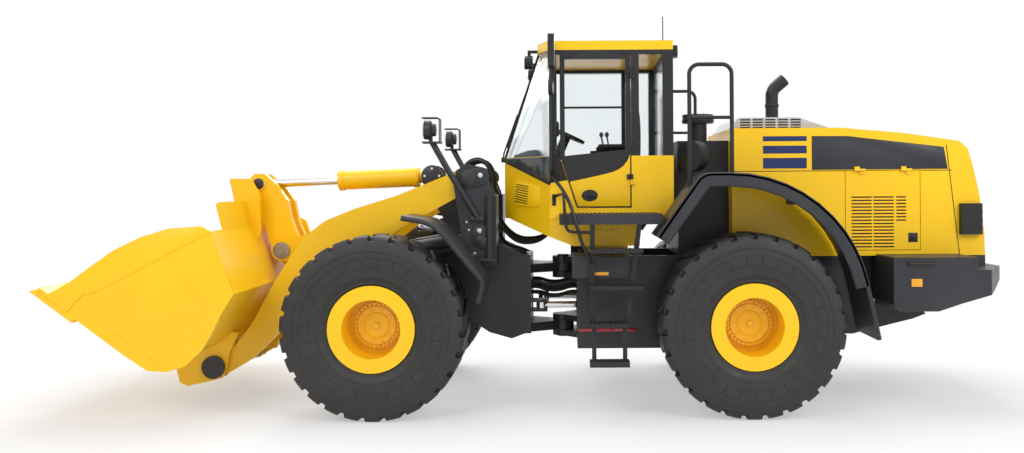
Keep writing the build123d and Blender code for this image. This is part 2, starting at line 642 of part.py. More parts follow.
# Rear frame: side plates with an arch over the axle, cross plates, hitch forks and pins
chassis_points = [
    (chassis_front_x, 520), (chassis_front_x, 1190), (chassis_front_x + 70, chassis_top_z),
    (counterweight_front_x, chassis_top_z), (counterweight_front_x, counterweight_low_z),
    (3700, counterweight_low_z), (3834, 844), (3708, 796), (3109, 650), (rear_axle_x + 520, 650),
    (rear_axle_x + 430, rear_axle_seat_z), (rear_axle_x - 430, rear_axle_seat_z), (rear_axle_x - 520, 520),
]
fork_points = [(hitch_x, -110), (chassis_front_x + 30, -300), (chassis_front_x + 30, 300), (hitch_x, 110)]
with BuildPart() as rear_frame:
    pair_shape(chassis_points, chassis_inner, chassis_outer)
    block(chassis_front_x, chassis_front_x + 60, -chassis_inner, chassis_inner, 520, 1190)
    for side in (-1, 1):
        rod(
            (chassis_front_x - 50, side * 400, steer_z), (chassis_front_x + 150, side * 400, steer_z),
            160, Mode.SUBTRACT,
        )
    rod((chassis_front_x - 50, 0, 880), (chassis_front_x + 150, 0, 880), 120, Mode.SUBTRACT)
    block(rear_axle_x - 420, rear_axle_x + 420, -chassis_inner, chassis_inner, rear_axle_seat_z, rear_axle_seat_z + 90)
    block(counterweight_front_x - 150, counterweight_front_x, -chassis_inner, chassis_inner, 1000, chassis_top_z)
    for z_low, z_high in (
        (upper_lug_low - 65, upper_lug_low - 5), (upper_lug_high + 5, upper_lug_high + 65),
        (lower_lug_low - 65, lower_lug_low - 5), (lower_lug_high + 5, lower_lug_high + 65),
    ):
        plan_shape(fork_points, z_low, z_high)
        upright(hitch_x, 0, 110, z_low, z_high)
    upright(hitch_x, 0, hitch_pin_radius, upper_lug_low - 65, upper_lug_high + 80)
    upright(hitch_x, 0, hitch_pin_radius, lower_lug_low - 80, lower_lug_high + 65)
    pair_block(chassis_front_x + 30, chassis_front_x + 60, 200, chassis_inner, 1150, chassis_top_z)
    for z_low, z_high in ((steer_z + 35, steer_z + 60), (steer_z - 60, steer_z - 35)):
        pair_block(steer_rear_x - 70, steer_rear_x + 90, steer_rear_y - 70, chassis_inner, z_low, z_high)
    for side in (-1, 1):
        upright(steer_rear_x, side * steer_rear_y, 35, steer_z - 60, steer_z + 60)
save(rear_frame.part, "rear_frame")

# Transmission and engine, plain masses at their real places
with BuildPart() as transmission:
    block(560, 1180, -220, 220, 560, 1380)
    block(640, 1100, -chassis_inner, chassis_inner, 1290, 1380)
save(transmission.part, "transmission")

with BuildPart() as engine:
    block(2150, counterweight_front_x - 160, -400, 400, rear_axle_seat_z + 90, 2250)
    pair_block(2500, 2800, 400, chassis_inner, 1200, 1290)
save(engine.part, "engine")

# Counterweight with the battery boxes on its shoulders
counterweight_points = [
    (counterweight_front_x, 1330), (4300, 1330), (rear_end_x, 1330), (rear_end_x, 1200), (4300, 1130),
    (3917, 1021), (3700, counterweight_low_z), (counterweight_front_x + 60, counterweight_low_z),
    (counterweight_front_x, 1010),
]
with BuildPart() as counterweight:
    side_shape(counterweight_points, -counterweight_half_width, counterweight_half_width)
    for side in (-1, 1):
        plan_shape(
            [
                (rear_end_x + 10, side * 820), (rear_end_x + 10, side * (counterweight_half_width + 10)),
                (4180, side * (counterweight_half_width + 10)),
            ],
            900, 1500, Mode.SUBTRACT,
        )
    block(counterweight_front_x, 4343, -hood_half_width, hood_half_width, 1330, chassis_top_z)
    pair_block(counterweight_front_x, 4068, hood_half_width, counterweight_half_width, 1330, 1445)
save(counterweight.part, "counterweight")


def tail_z(x):
    return counterweight_low_z + (x - 3700) * (1021 - counterweight_low_z) / (3917 - 3700)


# Tow hitch under the tail
with BuildPart() as tow_hitch:
    block(3860, 4080, -90, 90, 830, 880)
    side_shape([(3860, 780), (3910, 780), (3910, tail_z(3910)), (3860, tail_z(3860))], -160, 160)
    upright(4020, 0, 26, 800, 900, Mode.SUBTRACT)
save(tow_hitch.part, "tow_hitch")

# Hood: a hollow shell, open below, with openings for the doors and the rear grille
hood_points = [
    (hood_front_x, chassis_top_z), (hood_front_x, hood_top_z), (2950, hood_top_z), (3560, 2615), (3930, 2560),
    (4100, 2535), (4180, 2460), (4237, 2264), (4293, 2002), (4334, 1648), (4343, chassis_top_z),
]
hood_hollow_points = [
    (hood_front_x + hood_skin, chassis_top_z - 10), (hood_front_x + hood_skin, hood_top_z - hood_skin),
    (2948, hood_top_z - hood_skin), (3556, 2575), (3924, 2520), (4082, 2496), (4146, 2440), (4198, 2256),
    (4253, 1996), (4294, 1645), (4303, chassis_top_z - 10),
]
grille_half_width = 600.0
grille_low_z = 1560.0
grille_top_z = 2380.0
hood_hinge_y = hood_half_width + hinge_offset
hood_hinge_places = (hood_door_front_x + 90.0, hood_door_rear_x - 190.0)
grille_hinge_x = 4218.4
grille_hinge_z = 2384.5
grille_hinge_places = (-450.0, 350.0)
grille_leaf_points = [
    (grille_hinge_x, grille_hinge_z + 4), (grille_hinge_x - 8, grille_hinge_z + 34), (4160, grille_hinge_z + 34),
    (4175, grille_hinge_z + 4),
]


def lengthways(start, radius, length, mode=Mode.ADD):
    rod(start, (start[0] + length, start[1], start[2]), radius, mode)


with BuildPart() as hood:
    side_shape(hood_points, -hood_half_width, hood_half_width)
    side_shape(hood_hollow_points, -hood_half_width + hood_skin, hood_half_width - hood_skin, Mode.SUBTRACT)
    pair_block(
        hood_door_front_x, hood_door_rear_x, hood_half_width - hood_skin - 5, hood_half_width + 5,
        hood_door_low_z, hood_door_top_z, Mode.SUBTRACT,
    )
    block(4000, 4400, -grille_half_width, grille_half_width, grille_low_z, grille_top_z, Mode.SUBTRACT)
    for hinge_x in hood_hinge_places:
        for side in (-1, 1):
            near_y = side * (hood_half_width - 10)
            far_y = side * hood_hinge_y
            block(
                hinge_x, hinge_x + knuckle_length, min(near_y, far_y), max(near_y, far_y),
                hood_door_top_z + 4, hood_door_top_z + 34,
            )
            lengthways((hinge_x, side * hood_hinge_y, hood_door_top_z), knuckle_radius, knuckle_length)
            lengthways(
                (hinge_x, side * hood_hinge_y, hood_door_top_z), hinge_pin_radius + pin_clearance, knuckle_length,
                Mode.SUBTRACT,
            )
    for hinge_y in grille_hinge_places:
        side_shape(grille_leaf_points, hinge_y, hinge_y + knuckle_length)
        cross_pin(grille_hinge_x, grille_hinge_z, knuckle_radius, hinge_y, hinge_y + knuckle_length)
        cross_pin(
            grille_hinge_x, grille_hinge_z, hinge_pin_radius + pin_clearance, hinge_y, hinge_y + knuckle_length,
            Mode.SUBTRACT,
        )
save(hood.part, "hood")

for side, name in ((-1, "left"), (1, "right")):
    with BuildPart() as hood_door:
        y_one = side * hood_half_width
        y_two = side * (hood_half_width - hood_skin)
        block(
            hood_door_front_x + door_gap, hood_door_rear_x - door_gap, min(y_one, y_two), max(y_one, y_two),
            hood_door_low_z + door_gap, hood_door_top_z - door_gap,
        )
        for hinge_x in hood_hinge_places:
            door_knuckle_x = hinge_x + knuckle_length + knuckle_gap
            near_y = side * (hood_half_width - 10)
            far_y = side * hood_hinge_y
            block(
                door_knuckle_x, door_knuckle_x + knuckle_length, min(near_y, far_y), max(near_y, far_y),
                hood_door_top_z - 40, hood_door_top_z - door_gap,
            )
            lengthways((door_knuckle_x, far_y, hood_door_top_z), knuckle_radius, knuckle_length)
            lengthways((hinge_x - 4, far_y, hood_door_top_z), hinge_pin_radius, knuckle_length + 20)
    save(hood_door.part, "hood_door_" + name)

rear_grille_points = [
    (4205, grille_top_z - door_gap), (4237, 2264), (4293, 2002), (4334, 1648), (4340, grille_low_z + door_gap),
    (4300, grille_low_z + door_gap), (4294, 1645), (4253, 1996), (4198, 2256), (4168, grille_top_z - door_gap),
]
with BuildPart() as rear_grille:
    side_shape(rear_grille_points, -grille_half_width + door_gap, grille_half_width - door_gap)
    for hinge_y in grille_hinge_places:
        grille_knuckle_y = hinge_y + knuckle_length + knuckle_gap
        side_shape(
            [
                (grille_hinge_x, grille_hinge_z - 4), (grille_hinge_x + 2, grille_hinge_z - 40),
                (4192, grille_hinge_z - 48), (4188, grille_hinge_z - 12),
            ],
            grille_knuckle_y, grille_knuckle_y + knuckle_length,
        )
        cross_pin(
            grille_hinge_x, grille_hinge_z, knuckle_radius, grille_knuckle_y, grille_knuckle_y + knuckle_length,
        )
        cross_pin(grille_hinge_x, grille_hinge_z, hinge_pin_radius, hinge_y - 4, grille_knuckle_y + 20)
save(rear_grille.part, "rear_grille")

# Raised grille on the hood, exhaust stack
with BuildPart() as top_grille:
    block(1920, 2990, -560, 560, hood_top_z, 2786)
save(top_grille.part, "top_grille")

stack_y = -300.0
with BuildPart() as exhaust_stack:
    pipe([(2390, stack_y, 2786), (2390, stack_y, 3080), (2520, stack_y, 3190)], 64, 120)
save(exhaust_stack.part, "exhaust_stack")

# Hydraulic tank between cab and hood, with the air cleaner and pre-cleaner
tank_half_width = 570.0
tank_top_z = 2560.0
with BuildPart() as hydraulic_tank:
    block(1400, hood_front_x, -tank_half_width, tank_half_width, chassis_top_z, tank_top_z)
save(hydraulic_tank.part, "hydraulic_tank")

with BuildPart() as air_cleaner:
    rod((1485, -800, 2404), (1570, -715, 2404), 150)
    block(1560, 1640, -720, -tank_half_width, 2360, 2450)
    upright(1630, -350, 90, tank_top_z, 2750)
    upright(1630, -350, 156, 2747, 2832)
save(air_cleaner.part, "air_cleaner")

# Rear axle fenders with their flaps
rear_fender_outer = [
    (1110, 1658), (1499, 2211), (1746, 2235), (2084, 2203), (2354, 2092), (2625, 1881), (2851, 1657), (2964, 1433),
    (3115, 727),
]
rear_fender_inner = [
    (3075, 720), (2925, 1420), (2815, 1635), (2595, 1852), (2335, 2058), (2076, 2165), (1746, 2197), (1519, 2175),
    (1142, 1640),
]
rear_skirt_inner = [
    (2762, 1522), (2581, 1745), (2310, 1968), (2039, 2090), (1770, 2077), (1579, 2043), (1244, 1647),
]
with BuildPart() as rear_fenders:
    pair_shape(rear_fender_outer + rear_fender_inner, cab_half_width, fender_half_width)
    pair_shape(rear_fender_outer[:8] + rear_skirt_inner, fender_half_width - 40, fender_half_width)
    pair_block(1960, 2060, hood_half_width, cab_half_width + 40, 2110, 2180)
    pair_block(2420, 2500, hood_half_width, cab_half_width + 40, 1920, 1975)
save(rear_fenders.part, "rear_fenders")

# Cab tub: floor, nose and low walls
tub_plan = [
    (cab_front_x, -nose_half_width), (cab_post_x, -cab_half_width), (cab_rear_x, -cab_half_width),
    (cab_rear_x, cab_half_width), (cab_post_x, cab_half_width), (cab_front_x, nose_half_width),
]
tub_hollow = [
    (cab_front_x + cab_wall, -nose_half_width + 20), (cab_post_x + 25, -cab_half_width + cab_wall),
    (cab_rear_x - cab_wall, -cab_half_width + cab_wall), (cab_rear_x - cab_wall, cab_half_width - cab_wall),
    (cab_post_x + 25, cab_half_width - cab_wall), (cab_front_x + cab_wall, nose_half_width - 20),
]
door_low_z = 1908.0
cab_hinge_x = cab_door_rear_x
cab_hinge_y = -cab_half_width - 18.0
low_hinge_z = 2130.0
high_hinge_z = 3150.0
door_top_z = 3390.0
with BuildPart() as cab_tub:
    plan_shape(tub_plan, cab_floor_z, cab_belt_z)
    plan_shape(tub_hollow, cab_floor_z + 60, cab_belt_z + 10, Mode.SUBTRACT)
    block(360, 1000, -cab_half_width, cab_half_width, 1543, cab_floor_z)
    door_opening = [
        (cab_door_front_x, cab_belt_z + 10), (cab_door_rear_x, cab_belt_z + 10), (cab_door_rear_x, door_low_z),
        (394, door_low_z), (cab_door_front_x, cab_belt_z),
    ]
    side_shape(door_opening, -cab_half_width - 10, -cab_half_width + cab_wall + 10, Mode.SUBTRACT)
    pair_block(500, 900, chassis_inner, chassis_outer, chassis_top_z, 1543)
    block(cab_hinge_x, cab_hinge_x + 40, cab_hinge_y, -cab_half_width + 10, low_hinge_z, low_hinge_z + knuckle_length)
    upright(cab_hinge_x, cab_hinge_y, knuckle_radius, low_hinge_z, low_hinge_z + knuckle_length)
    upright(
        cab_hinge_x, cab_hinge_y, hinge_pin_radius + pin_clearance, low_hinge_z, low_hinge_z + knuckle_length,
        Mode.SUBTRACT,
    )
save(cab_tub.part, "cab_tub")

# Cab posts and header
post_y_low = cab_half_width - cab_wall
with BuildPart() as cab_posts:
    pair_block(cab_post_x, cab_post_x + 60, post_y_low, cab_half_width, cab_belt_z, cab_roof_low_z)
    pair_block(cab_door_rear_x, cab_door_rear_x + 75, post_y_low, cab_half_width, cab_belt_z, cab_roof_low_z)
    pair_block(cab_rear_x - 100, cab_rear_x, post_y_low, cab_half_width, cab_belt_z, cab_roof_low_z)
    pair_block(cab_post_x, cab_rear_x, post_y_low, cab_half_width, door_top_z, cab_roof_low_z)
    block(cab_rear_x - 60, cab_rear_x, -cab_half_width, cab_half_width, door_top_z, cab_roof_low_z)
    block(cab_post_x, cab_post_x + 60, -cab_half_width, cab_half_width, door_top_z, cab_roof_low_z)
    block(
        cab_hinge_x, cab_hinge_x + 40, cab_hinge_y, -cab_half_width + 10, high_hinge_z, high_hinge_z + knuckle_length,
    )
    upright(cab_hinge_x, cab_hinge_y, knuckle_radius, high_hinge_z, high_hinge_z + knuckle_length)
    upright(
        cab_hinge_x, cab_hinge_y, hinge_pin_radius + pin_clearance, high_hinge_z, high_hinge_z + knuckle_length,
        Mode.SUBTRACT,
    )
save(cab_posts.part, "cab_posts")

# Cab roof
roof_plan = [
    (20, -560), (120, -cab_half_width), (cab_rear_x, -cab_half_width), (cab_rear_x, cab_half_width),
    (120, cab_half_width), (20, 560),
]
with BuildPart() as cab_roof:
    plan_shape(roof_plan, cab_roof_low_z, cab_roof_top_z)
save(cab_roof.part, "cab_roof")

# Cab glass: windscreen in three panes, side and rear panes
with BuildPart() as cab_glass:
    block(cab_rear_x - 40, cab_rear_x - 40 + glass_thickness, -post_y_low, post_y_low, cab_belt_z, door_top_z)
    block(
        cab_door_rear_x + 75, cab_rear_x - 100, -cab_half_width + 20, -cab_half_width + 20 + glass_thickness,
        cab_belt_z, door_top_z,
    )
    block(
        cab_door_rear_x + 75, cab_rear_x - 100, cab_half_width - 20 - glass_thickness, cab_half_width - 20,
        cab_belt_z, door_top_z,
    )
    block(
        cab_post_x + 60, cab_door_rear_x, cab_half_width - 20 - glass_thickness, cab_half_width - 20, cab_belt_z,
        door_top_z,
    )
save(cab_glass.part, "cab_glass")

# Windscreen: lofted from the nose up to the roof's lip
with BuildPart() as windscreen:
    with BuildSketch(Plane.XY.offset(cab_belt_z)):
        with BuildLine():
            Polyline(
                (cab_post_x, -cab_half_width + 5), (cab_front_x + 5, -nose_half_width),
                (cab_front_x + 5, nose_half_width), (cab_post_x, cab_half_width - 5),
                (cab_post_x, cab_half_width - 22), (cab_front_x + 20, nose_half_width - 8),
                (cab_front_x + 20, -nose_half_width + 8), (cab_post_x, -cab_half_width + 22), close=True,
            )
        make_face()
    with BuildSketch(Plane.XY.offset(cab_roof_low_z)):
        with BuildLine():
            Polyline(
                (cab_post_x, -cab_half_width + 5), (30, -540), (30, 540), (cab_post_x, cab_half_width - 5),
                (cab_post_x, cab_half_width - 22), (45, 530), (45, -530), (cab_post_x, -cab_half_width + 22),
                close=True,
            )
        make_face()
    loft(ruled=True)
save(windscreen.part, "windscreen")

# Cab door with its window
door_points = [
    (cab_door_front_x + door_gap, door_top_z - door_gap), (cab_door_rear_x - door_gap, door_top_z - door_gap),
    (cab_door_rear_x - door_gap, door_low_z + door_gap), (400, door_low_z + door_gap),
    (cab_door_front_x + door_gap, cab_belt_z),
]
door_window = [(285, 3345), (870, 3345), (870, 2470), (285, 2410)]
with BuildPart() as cab_door:
    side_shape(door_points, -cab_half_width, -post_y_low)
    side_shape(door_window, -cab_half_width - 5, -post_y_low + 5, Mode.SUBTRACT)
    for hinge_z in (low_hinge_z, high_hinge_z):
        door_knuckle_z = hinge_z + knuckle_length + knuckle_gap
        block(
            cab_hinge_x - 45, cab_hinge_x - door_gap, cab_hinge_y, -cab_half_width + 10, door_knuckle_z,
            door_knuckle_z + knuckle_length,
        )
        upright(cab_hinge_x, cab_hinge_y, knuckle_radius, door_knuckle_z, door_knuckle_z + knuckle_length)
        upright(cab_hinge_x, cab_hinge_y, hinge_pin_radius, hinge_z - 4, door_knuckle_z + 20)
save(cab_door.part, "cab_door")

with BuildPart() as cab_door_glass:
    side_shape(door_window, -cab_half_width + 20, -cab_half_width + 20 + glass_thickness)
save(cab_door_glass.part, "cab_door_glass")

# Seat, console and steering wheel
cab_floor_top = cab_floor_z + 60
with BuildPart() as seat:
    block(640, 900, -180, 180, cab_floor_top, cab_floor_top + 320)
    block(520, 1040, -260, 260, cab_floor_top + 320, cab_floor_top + 450)
    block(930, 1070, -250, 250, cab_floor_top + 450, cab_floor_top + 1050)
    block(950, 1050, -130, 130, cab_floor_top + 1050, cab_floor_top + 1270)
save(seat.part, "seat")

with BuildPart() as console:
    block(60, 220, -170, 170, cab_floor_top, cab_floor_top + 500)
    rod((150, 0, cab_floor_top + 450), (300, 0, cab_floor_top + 780), 50)
    block(560, 1050, 280, 420, cab_floor_top, cab_floor_top + 640)
    wheel_plane = Plane(origin=(300, 0, cab_floor_top + 780), z_dir=(150, 0, 330))
    with BuildSketch(wheel_plane) as steering_outline:
        Circle(200)
        Circle(165, mode=Mode.SUBTRACT)
        Rectangle(340, 40)
        Circle(55)
    extrude(steering_outline.sketch, amount=30)
save(console.part, "console")

# Mirrors on stays from the roof
with BuildPart() as mirrors:
    for side in (-1, 1):
        y_roof = side * cab_half_width
        rod((180, y_roof, 3474), (180, side * 1000, 3474), 14)
        block(130, 190, side * 1080 - 110, side * 1080 + 110, 3234, 3532)
        rod((160, side * 1080, 3240), (160, side * 1080, 3100), 12)
        rod((130, side * 1080, 3047), (175, side * 1080, 3047), 73)
save(mirrors.part, "mirrors")

# Work lamps under the roof's front lip and on its rear
with BuildPart() as roof_lamps:
    for side in (-1, 1):
        lamp_y = side * 500
        rod((-110, lamp_y, 3352), (-30, lamp_y, 3352), 68)
        block(-80, -50, lamp_y - 25, lamp_y + 25, 3352, 3470)
        block(-80, 20, lamp_y - 25, lamp_y + 25, 3445, 3470)
        block(cab_rear_x, cab_rear_x + 60, side * 620 - 70, side * 620 + 70, 3380, cab_roof_low_z + 60)
save(roof_lamps.part, "roof_lamps")

# Aerial at the roof's rear
with BuildPart() as aerial:
    upright(1260, -560, 22, cab_roof_top_z, cab_roof_top_z + 40)
    upright(1260, -560, 5, cab_roof_top_z + 40, 3790)
save(aerial.part, "aerial")

# Platforms, ladders, tool box and handrails
with BuildPart() as platforms:
    pair_block(229, 1180, cab_half_width, platform_outer, platform_top_z - platform_thickness, platform_top_z)
save(platforms.part, "platforms")

with BuildPart() as tool_boxes:
    pair_block(345, 883, chassis_outer, 1230, 1269, 1465)
save(tool_boxes.part, "tool_boxes")

platform_low_z = platform_top_z - platform_thickness
with BuildPart() as ladders:
    for step_z, step_front, step_rear in ((1510, 510, 985), (1180, 508, 985), (840, 500, 860)):
        pair_block(step_front, step_rear, ladder_y - 60, ladder_y - 60 + step_depth, step_z, step_z + 34)
    pair_shape([(500, 830), (545, 830), (555, platform_low_z), (510, platform_low_z)], ladder_y - 40, ladder_y - 10)
    pair_shape([(820, 830), (865, 830), (985, platform_low_z), (940, platform_low_z)], ladder_y - 40, ladder_y - 10)
    pair_block(500, 860, ladder_y - 30, ladder_y - 60 + step_depth, 482, 530)
    pair_block(520, 560, ladder_y + 60, ladder_y + 74, 520, 850)
    pair_block(800, 840, ladder_y + 60, ladder_y + 74, 520, 850)
save(ladders.part, "ladders")

with BuildPart() as handrails:
    for side in (-1, 1):
        rail_y = side * 1250
        pipe([(1430, rail_y, 2000), (1430, rail_y, 3231), (1820, rail_y, 3231), (1820, rail_y, 2000)], 19, 90)
        rod((1430, rail_y, 2743), (1820, rail_y, 2743), 16)
    side_shape(
        [(1110, 1658), (1499, 2211), (1746, 2235), (2084, 2203), (2084, 1600), (1110, 1600)],
        -fender_half_width, fender_half_width, Mode.SUBTRACT,
    )
save(handrails.part, "handrails")

# Tail lamps on the hood's rear corners
with BuildPart() as tail_lamps:
    pair_block(4093, 4295, hood_half_width, hood_half_width + 60, 1632, 1931)
save(tail_lamps.part, "tail_lamps")
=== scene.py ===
import math

import bmesh
import bpy
from mathutils import Matrix, Vector


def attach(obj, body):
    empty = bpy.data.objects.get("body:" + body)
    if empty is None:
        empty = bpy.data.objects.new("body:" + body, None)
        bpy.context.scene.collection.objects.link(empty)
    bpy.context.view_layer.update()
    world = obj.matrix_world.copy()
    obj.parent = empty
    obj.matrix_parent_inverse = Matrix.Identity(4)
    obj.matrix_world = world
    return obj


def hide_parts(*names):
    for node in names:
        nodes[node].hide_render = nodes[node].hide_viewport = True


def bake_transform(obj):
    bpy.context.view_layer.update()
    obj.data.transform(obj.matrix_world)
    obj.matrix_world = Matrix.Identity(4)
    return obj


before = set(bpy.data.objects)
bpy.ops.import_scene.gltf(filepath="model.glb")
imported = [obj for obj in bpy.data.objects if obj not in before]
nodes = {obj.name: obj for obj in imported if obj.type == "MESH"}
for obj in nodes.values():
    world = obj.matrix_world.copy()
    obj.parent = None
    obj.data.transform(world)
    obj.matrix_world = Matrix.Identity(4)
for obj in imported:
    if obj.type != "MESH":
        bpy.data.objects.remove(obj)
scene = bpy.context.scene
scene.view_settings.view_transform = "Standard"
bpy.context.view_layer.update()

# Camera
# The photograph looks square at the left side from ten metres off,
# about two metres above the ground, with its axis behind the cab.
image_width = 1024
image_height = 453
focal_pixels = 970.0
axis_pixel = (565.0, 188.0)
camera_data = bpy.data.cameras.new("side_camera")
camera = bpy.data.objects.new("side_camera", camera_data)
scene.collection.objects.link(camera)
camera.location = (0.2835, -10.16, 2.102)
camera.rotation_euler = (math.radians(90), math.radians(0.35), 0)
camera_data.sensor_width = 36.0
camera_data.lens = focal_pixels / image_width * camera_data.sensor_width
camera_data.shift_x = (image_width / 2 - axis_pixel[0]) / image_width
camera_data.shift_y = (axis_pixel[1] - image_height / 2) / image_width
scene.camera = camera

# Studio
# A white floor that keeps a soft shadow and fades into a white surround,
# with four large soft lamps at a plain level.
floor_half = 40.0
floor_colour = (0.86, 0.86, 0.87, 1)
shadow_reach = (6.2, 3.4)
shadow_fade = (0.75, 1.5)
near_glow = 0.45
white = (1, 1, 1, 1)
sky_colour = (0.96, 0.98, 1, 1)
sky_strength = 0.55


def fill(tree, node, values):
    for socket, value in values.items():
        if isinstance(value, bpy.types.NodeSocket):
            tree.links.new(value, node.inputs[socket])
        else:
            node.inputs[socket].default_value = value


def add_node(tree, kind, values, operation=None):
    node = tree.nodes.new(kind)
    if operation:
        node.operation = operation
    fill(tree, node, values)
    return node


def add_math(tree, operation, one, two):
    return add_node(tree, "ShaderNodeMath", {0: one, 1: two}, operation).outputs[0]


def seen_rays(tree):
    rays = tree.nodes.new("ShaderNodeLightPath").outputs
    first = add_math(tree, "MAXIMUM", rays["Is Camera Ray"], rays["Is Transmission Ray"])
    return add_math(tree, "MAXIMUM", first, rays["Is Glossy Ray"])


def mixed_shader(tree, factor, one, two, end):
    mix = add_node(tree, "ShaderNodeMixShader", {"Fac": factor, 1: one.outputs[0], 2: two.outputs[0]})
    add_node(tree, end, {"Surface": mix.outputs[0]})


world = bpy.data.worlds.new("studio")
scene.world = world
world.use_nodes = True
sky_tree = world.node_tree
sky_tree.nodes.clear()
white_sky = add_node(sky_tree, "ShaderNodeBackground", {"Color": white, "Strength": 1.0})
soft_sky = add_node(sky_tree, "ShaderNodeBackground", {"Color": sky_colour, "Strength": sky_strength})
mixed_shader(sky_tree, seen_rays(sky_tree), soft_sky, white_sky, "ShaderNodeOutputWorld")

floor_mesh = bpy.data.meshes.new("studio_floor")
floor_corners = [(x * floor_half, y * floor_half, 0) for x, y in ((-1, -1), (1, -1), (1, 1), (-1, 1))]
floor_mesh.from_pydata(floor_corners, [], [(0, 1, 2, 3)])
studio_floor = bpy.data.objects.new("studio_floor", floor_mesh)
scene.collection.objects.link(studio_floor)
floor_material = bpy.data.materials.new("studio_floor")
floor_material.use_nodes = True
floor_tree = floor_material.node_tree
floor_tree.nodes.clear()
floor_shade = add_node(floor_tree, "ShaderNodeBsdfDiffuse", {"Color": floor_colour})
floor_glow = add_node(floor_tree, "ShaderNodeEmission", {"Color": white, "Strength": 1.0})
floor_place = floor_tree.nodes.new("ShaderNodeTexCoord").outputs["Object"]
floor_stretch = (1 / shadow_reach[0], 1 / shadow_reach[1], 0)
floor_scale = add_node(floor_tree, "ShaderNodeMapping", {"Vector": floor_place, "Scale": floor_stretch})
floor_reach = add_node(floor_tree, "ShaderNodeVectorMath", {0: floor_scale.outputs["Vector"]}, "LENGTH")
floor_fade = floor_tree.nodes.new("ShaderNodeMapRange")
floor_fade.interpolation_type = "SMOOTHSTEP"
fill(floor_tree, floor_fade, {
    "Value": floor_reach.outputs["Value"], "From Min": shadow_fade[0], "From Max": shadow_fade[1],
    "To Min": near_glow, "To Max": 1.0,
})
floor_part = add_math(floor_tree, "MULTIPLY", floor_fade.outputs["Result"], seen_rays(floor_tree))
mixed_shader(floor_tree, floor_part, floor_shade, floor_glow, "ShaderNodeOutputMaterial")
floor_mesh.materials.append(floor_material)


def soft_lamp(name, place, aim, size, power):
    data = bpy.data.lights.new(name, "AREA")
    data.energy = power
    data.size = size
    lamp = bpy.data.objects.new(name, data)
    scene.collection.objects.link(lamp)
    lamp.location = place
    lamp.rotation_euler = (Vector(aim) - Vector(place)).to_track_quat("-Z", "Y").to_euler()


soft_lamp("front_lamp", (-6, -10, 9), (0, 0, 1.2), 6.0, 430)
soft_lamp("rear_lamp", (8, -9, 8), (1, 0, 1.5), 6.0, 560)
soft_lamp("top_lamp", (0, 3, 12), (0, 0, 1), 10.0, 1000)
soft_lamp("far_lamp", (-3, 11, 7), (0, 0, 1.5), 6.0, 500)

# Frames, axles and counterweight
# Welded plate and iron castings under graphite enamel.
# The enamel varies a little over each panel and holds a breath of dust low down.
graphite_colour = (0.022, 0.023, 0.027)
graphite_worn = (0.034, 0.035, 0.040)
black_colour = (0.010, 0.010, 0.011)
black_worn = (0.018, 0.018, 0.019)
dust_colour = (0.28, 0.25, 0.21)


def new_finish(name):
    finish = bpy.data.materials.new(name)
    finish.use_nodes = True
    tree = finish.node_tree
    return finish, tree, tree.nodes["Principled BSDF"]


def object_noise(tree, scale, detail=4.0, stretch=(1, 1, 1)):
    place = tree.nodes.new("ShaderNodeTexCoord").outputs["Object"]
    mapping = add_node(tree, "ShaderNodeMapping", {"Vector": place, "Scale": stretch})
    values = {"Vector": mapping.outputs["Vector"], "Scale": scale, "Detail": detail}
    return add_node(tree, "ShaderNodeTexNoise", values).outputs["Fac"]


def spread(tree, source, low, high, start=0.3, stop=0.7):
    values = {"Value": source, "From Min": start, "From Max": stop, "To Min": low, "To Max": high}
    return add_node(tree, "ShaderNodeMapRange", values).outputs["Result"]


def mixed(tree, factor, one, two):
    mix = tree.nodes.new("ShaderNodeMix")
    mix.data_type = "RGBA"
    one, two = [(*colour, 1) if isinstance(colour, tuple) else colour for colour in (one, two)]
    fill(tree, mix, {"A": one, "B": two, "Factor": factor})
    return mix.outputs["Result"]


def bumped(tree, shader, source, strength, distance):
    bump = add_node(tree, "ShaderNodeBump", {"Strength": strength, "Distance": distance, "Height": source})
    fill(tree, shader, {"Normal": bump.outputs["Normal"]})


def low_dust(tree, most):
    place = tree.nodes.new("ShaderNodeTexCoord").outputs["Object"]
    split = add_node(tree, "ShaderNodeSeparateXYZ", {"Vector": place})
    low = spread(tree, split.outputs["Z"], most, 0.0, 0.1, 1.3)
    patches = spread(tree, object_noise(tree, 7.0, 6.0), 0.2, 1.0)
    return add_math(tree, "MULTIPLY", low, patches)


def sprayed(name, colour, worn, rough, gloss, peel=0.03, dust=0.05):
    finish, tree, shader = new_finish(name)
    broad = object_noise(tree, 1.6, 3.0)
    patchy = object_noise(tree, 5.0, 5.0)
    tone = mixed(tree, spread(tree, broad, 0.0, 1.0), colour, worn)
    fill(tree, shader, {
        "Base Color": mixed(tree, low_dust(tree, dust), tone, dust_colour),
        "Roughness": spread(tree, patchy, rough * 0.85, rough * 1.2),
        "Specular IOR Level": 0.32, "Coat Weight": gloss, "Coat Roughness": 0.12,
    })
    bumped(tree, shader, object_noise(tree, 70.0, 2.0), peel, 0.002)
    return finish


def coat(finish, *names):
    for name in names:
        data = nodes[name].data
        data.materials.clear()
        data.materials.append(finish)


graphite = sprayed("graphite_enamel", graphite_colour, graphite_worn, 0.46, 0.12)
black = sprayed("black_enamel", black_colour, black_worn, 0.48, 0.1)
coat(graphite, "rear_frame", "front_frame", "counterweight", "front_axle", "rear_axle", "tow_hitch",
     "tool_boxes", "platforms", "rear_grille")
coat(black, "engine", "transmission", "hydraulic_tank")


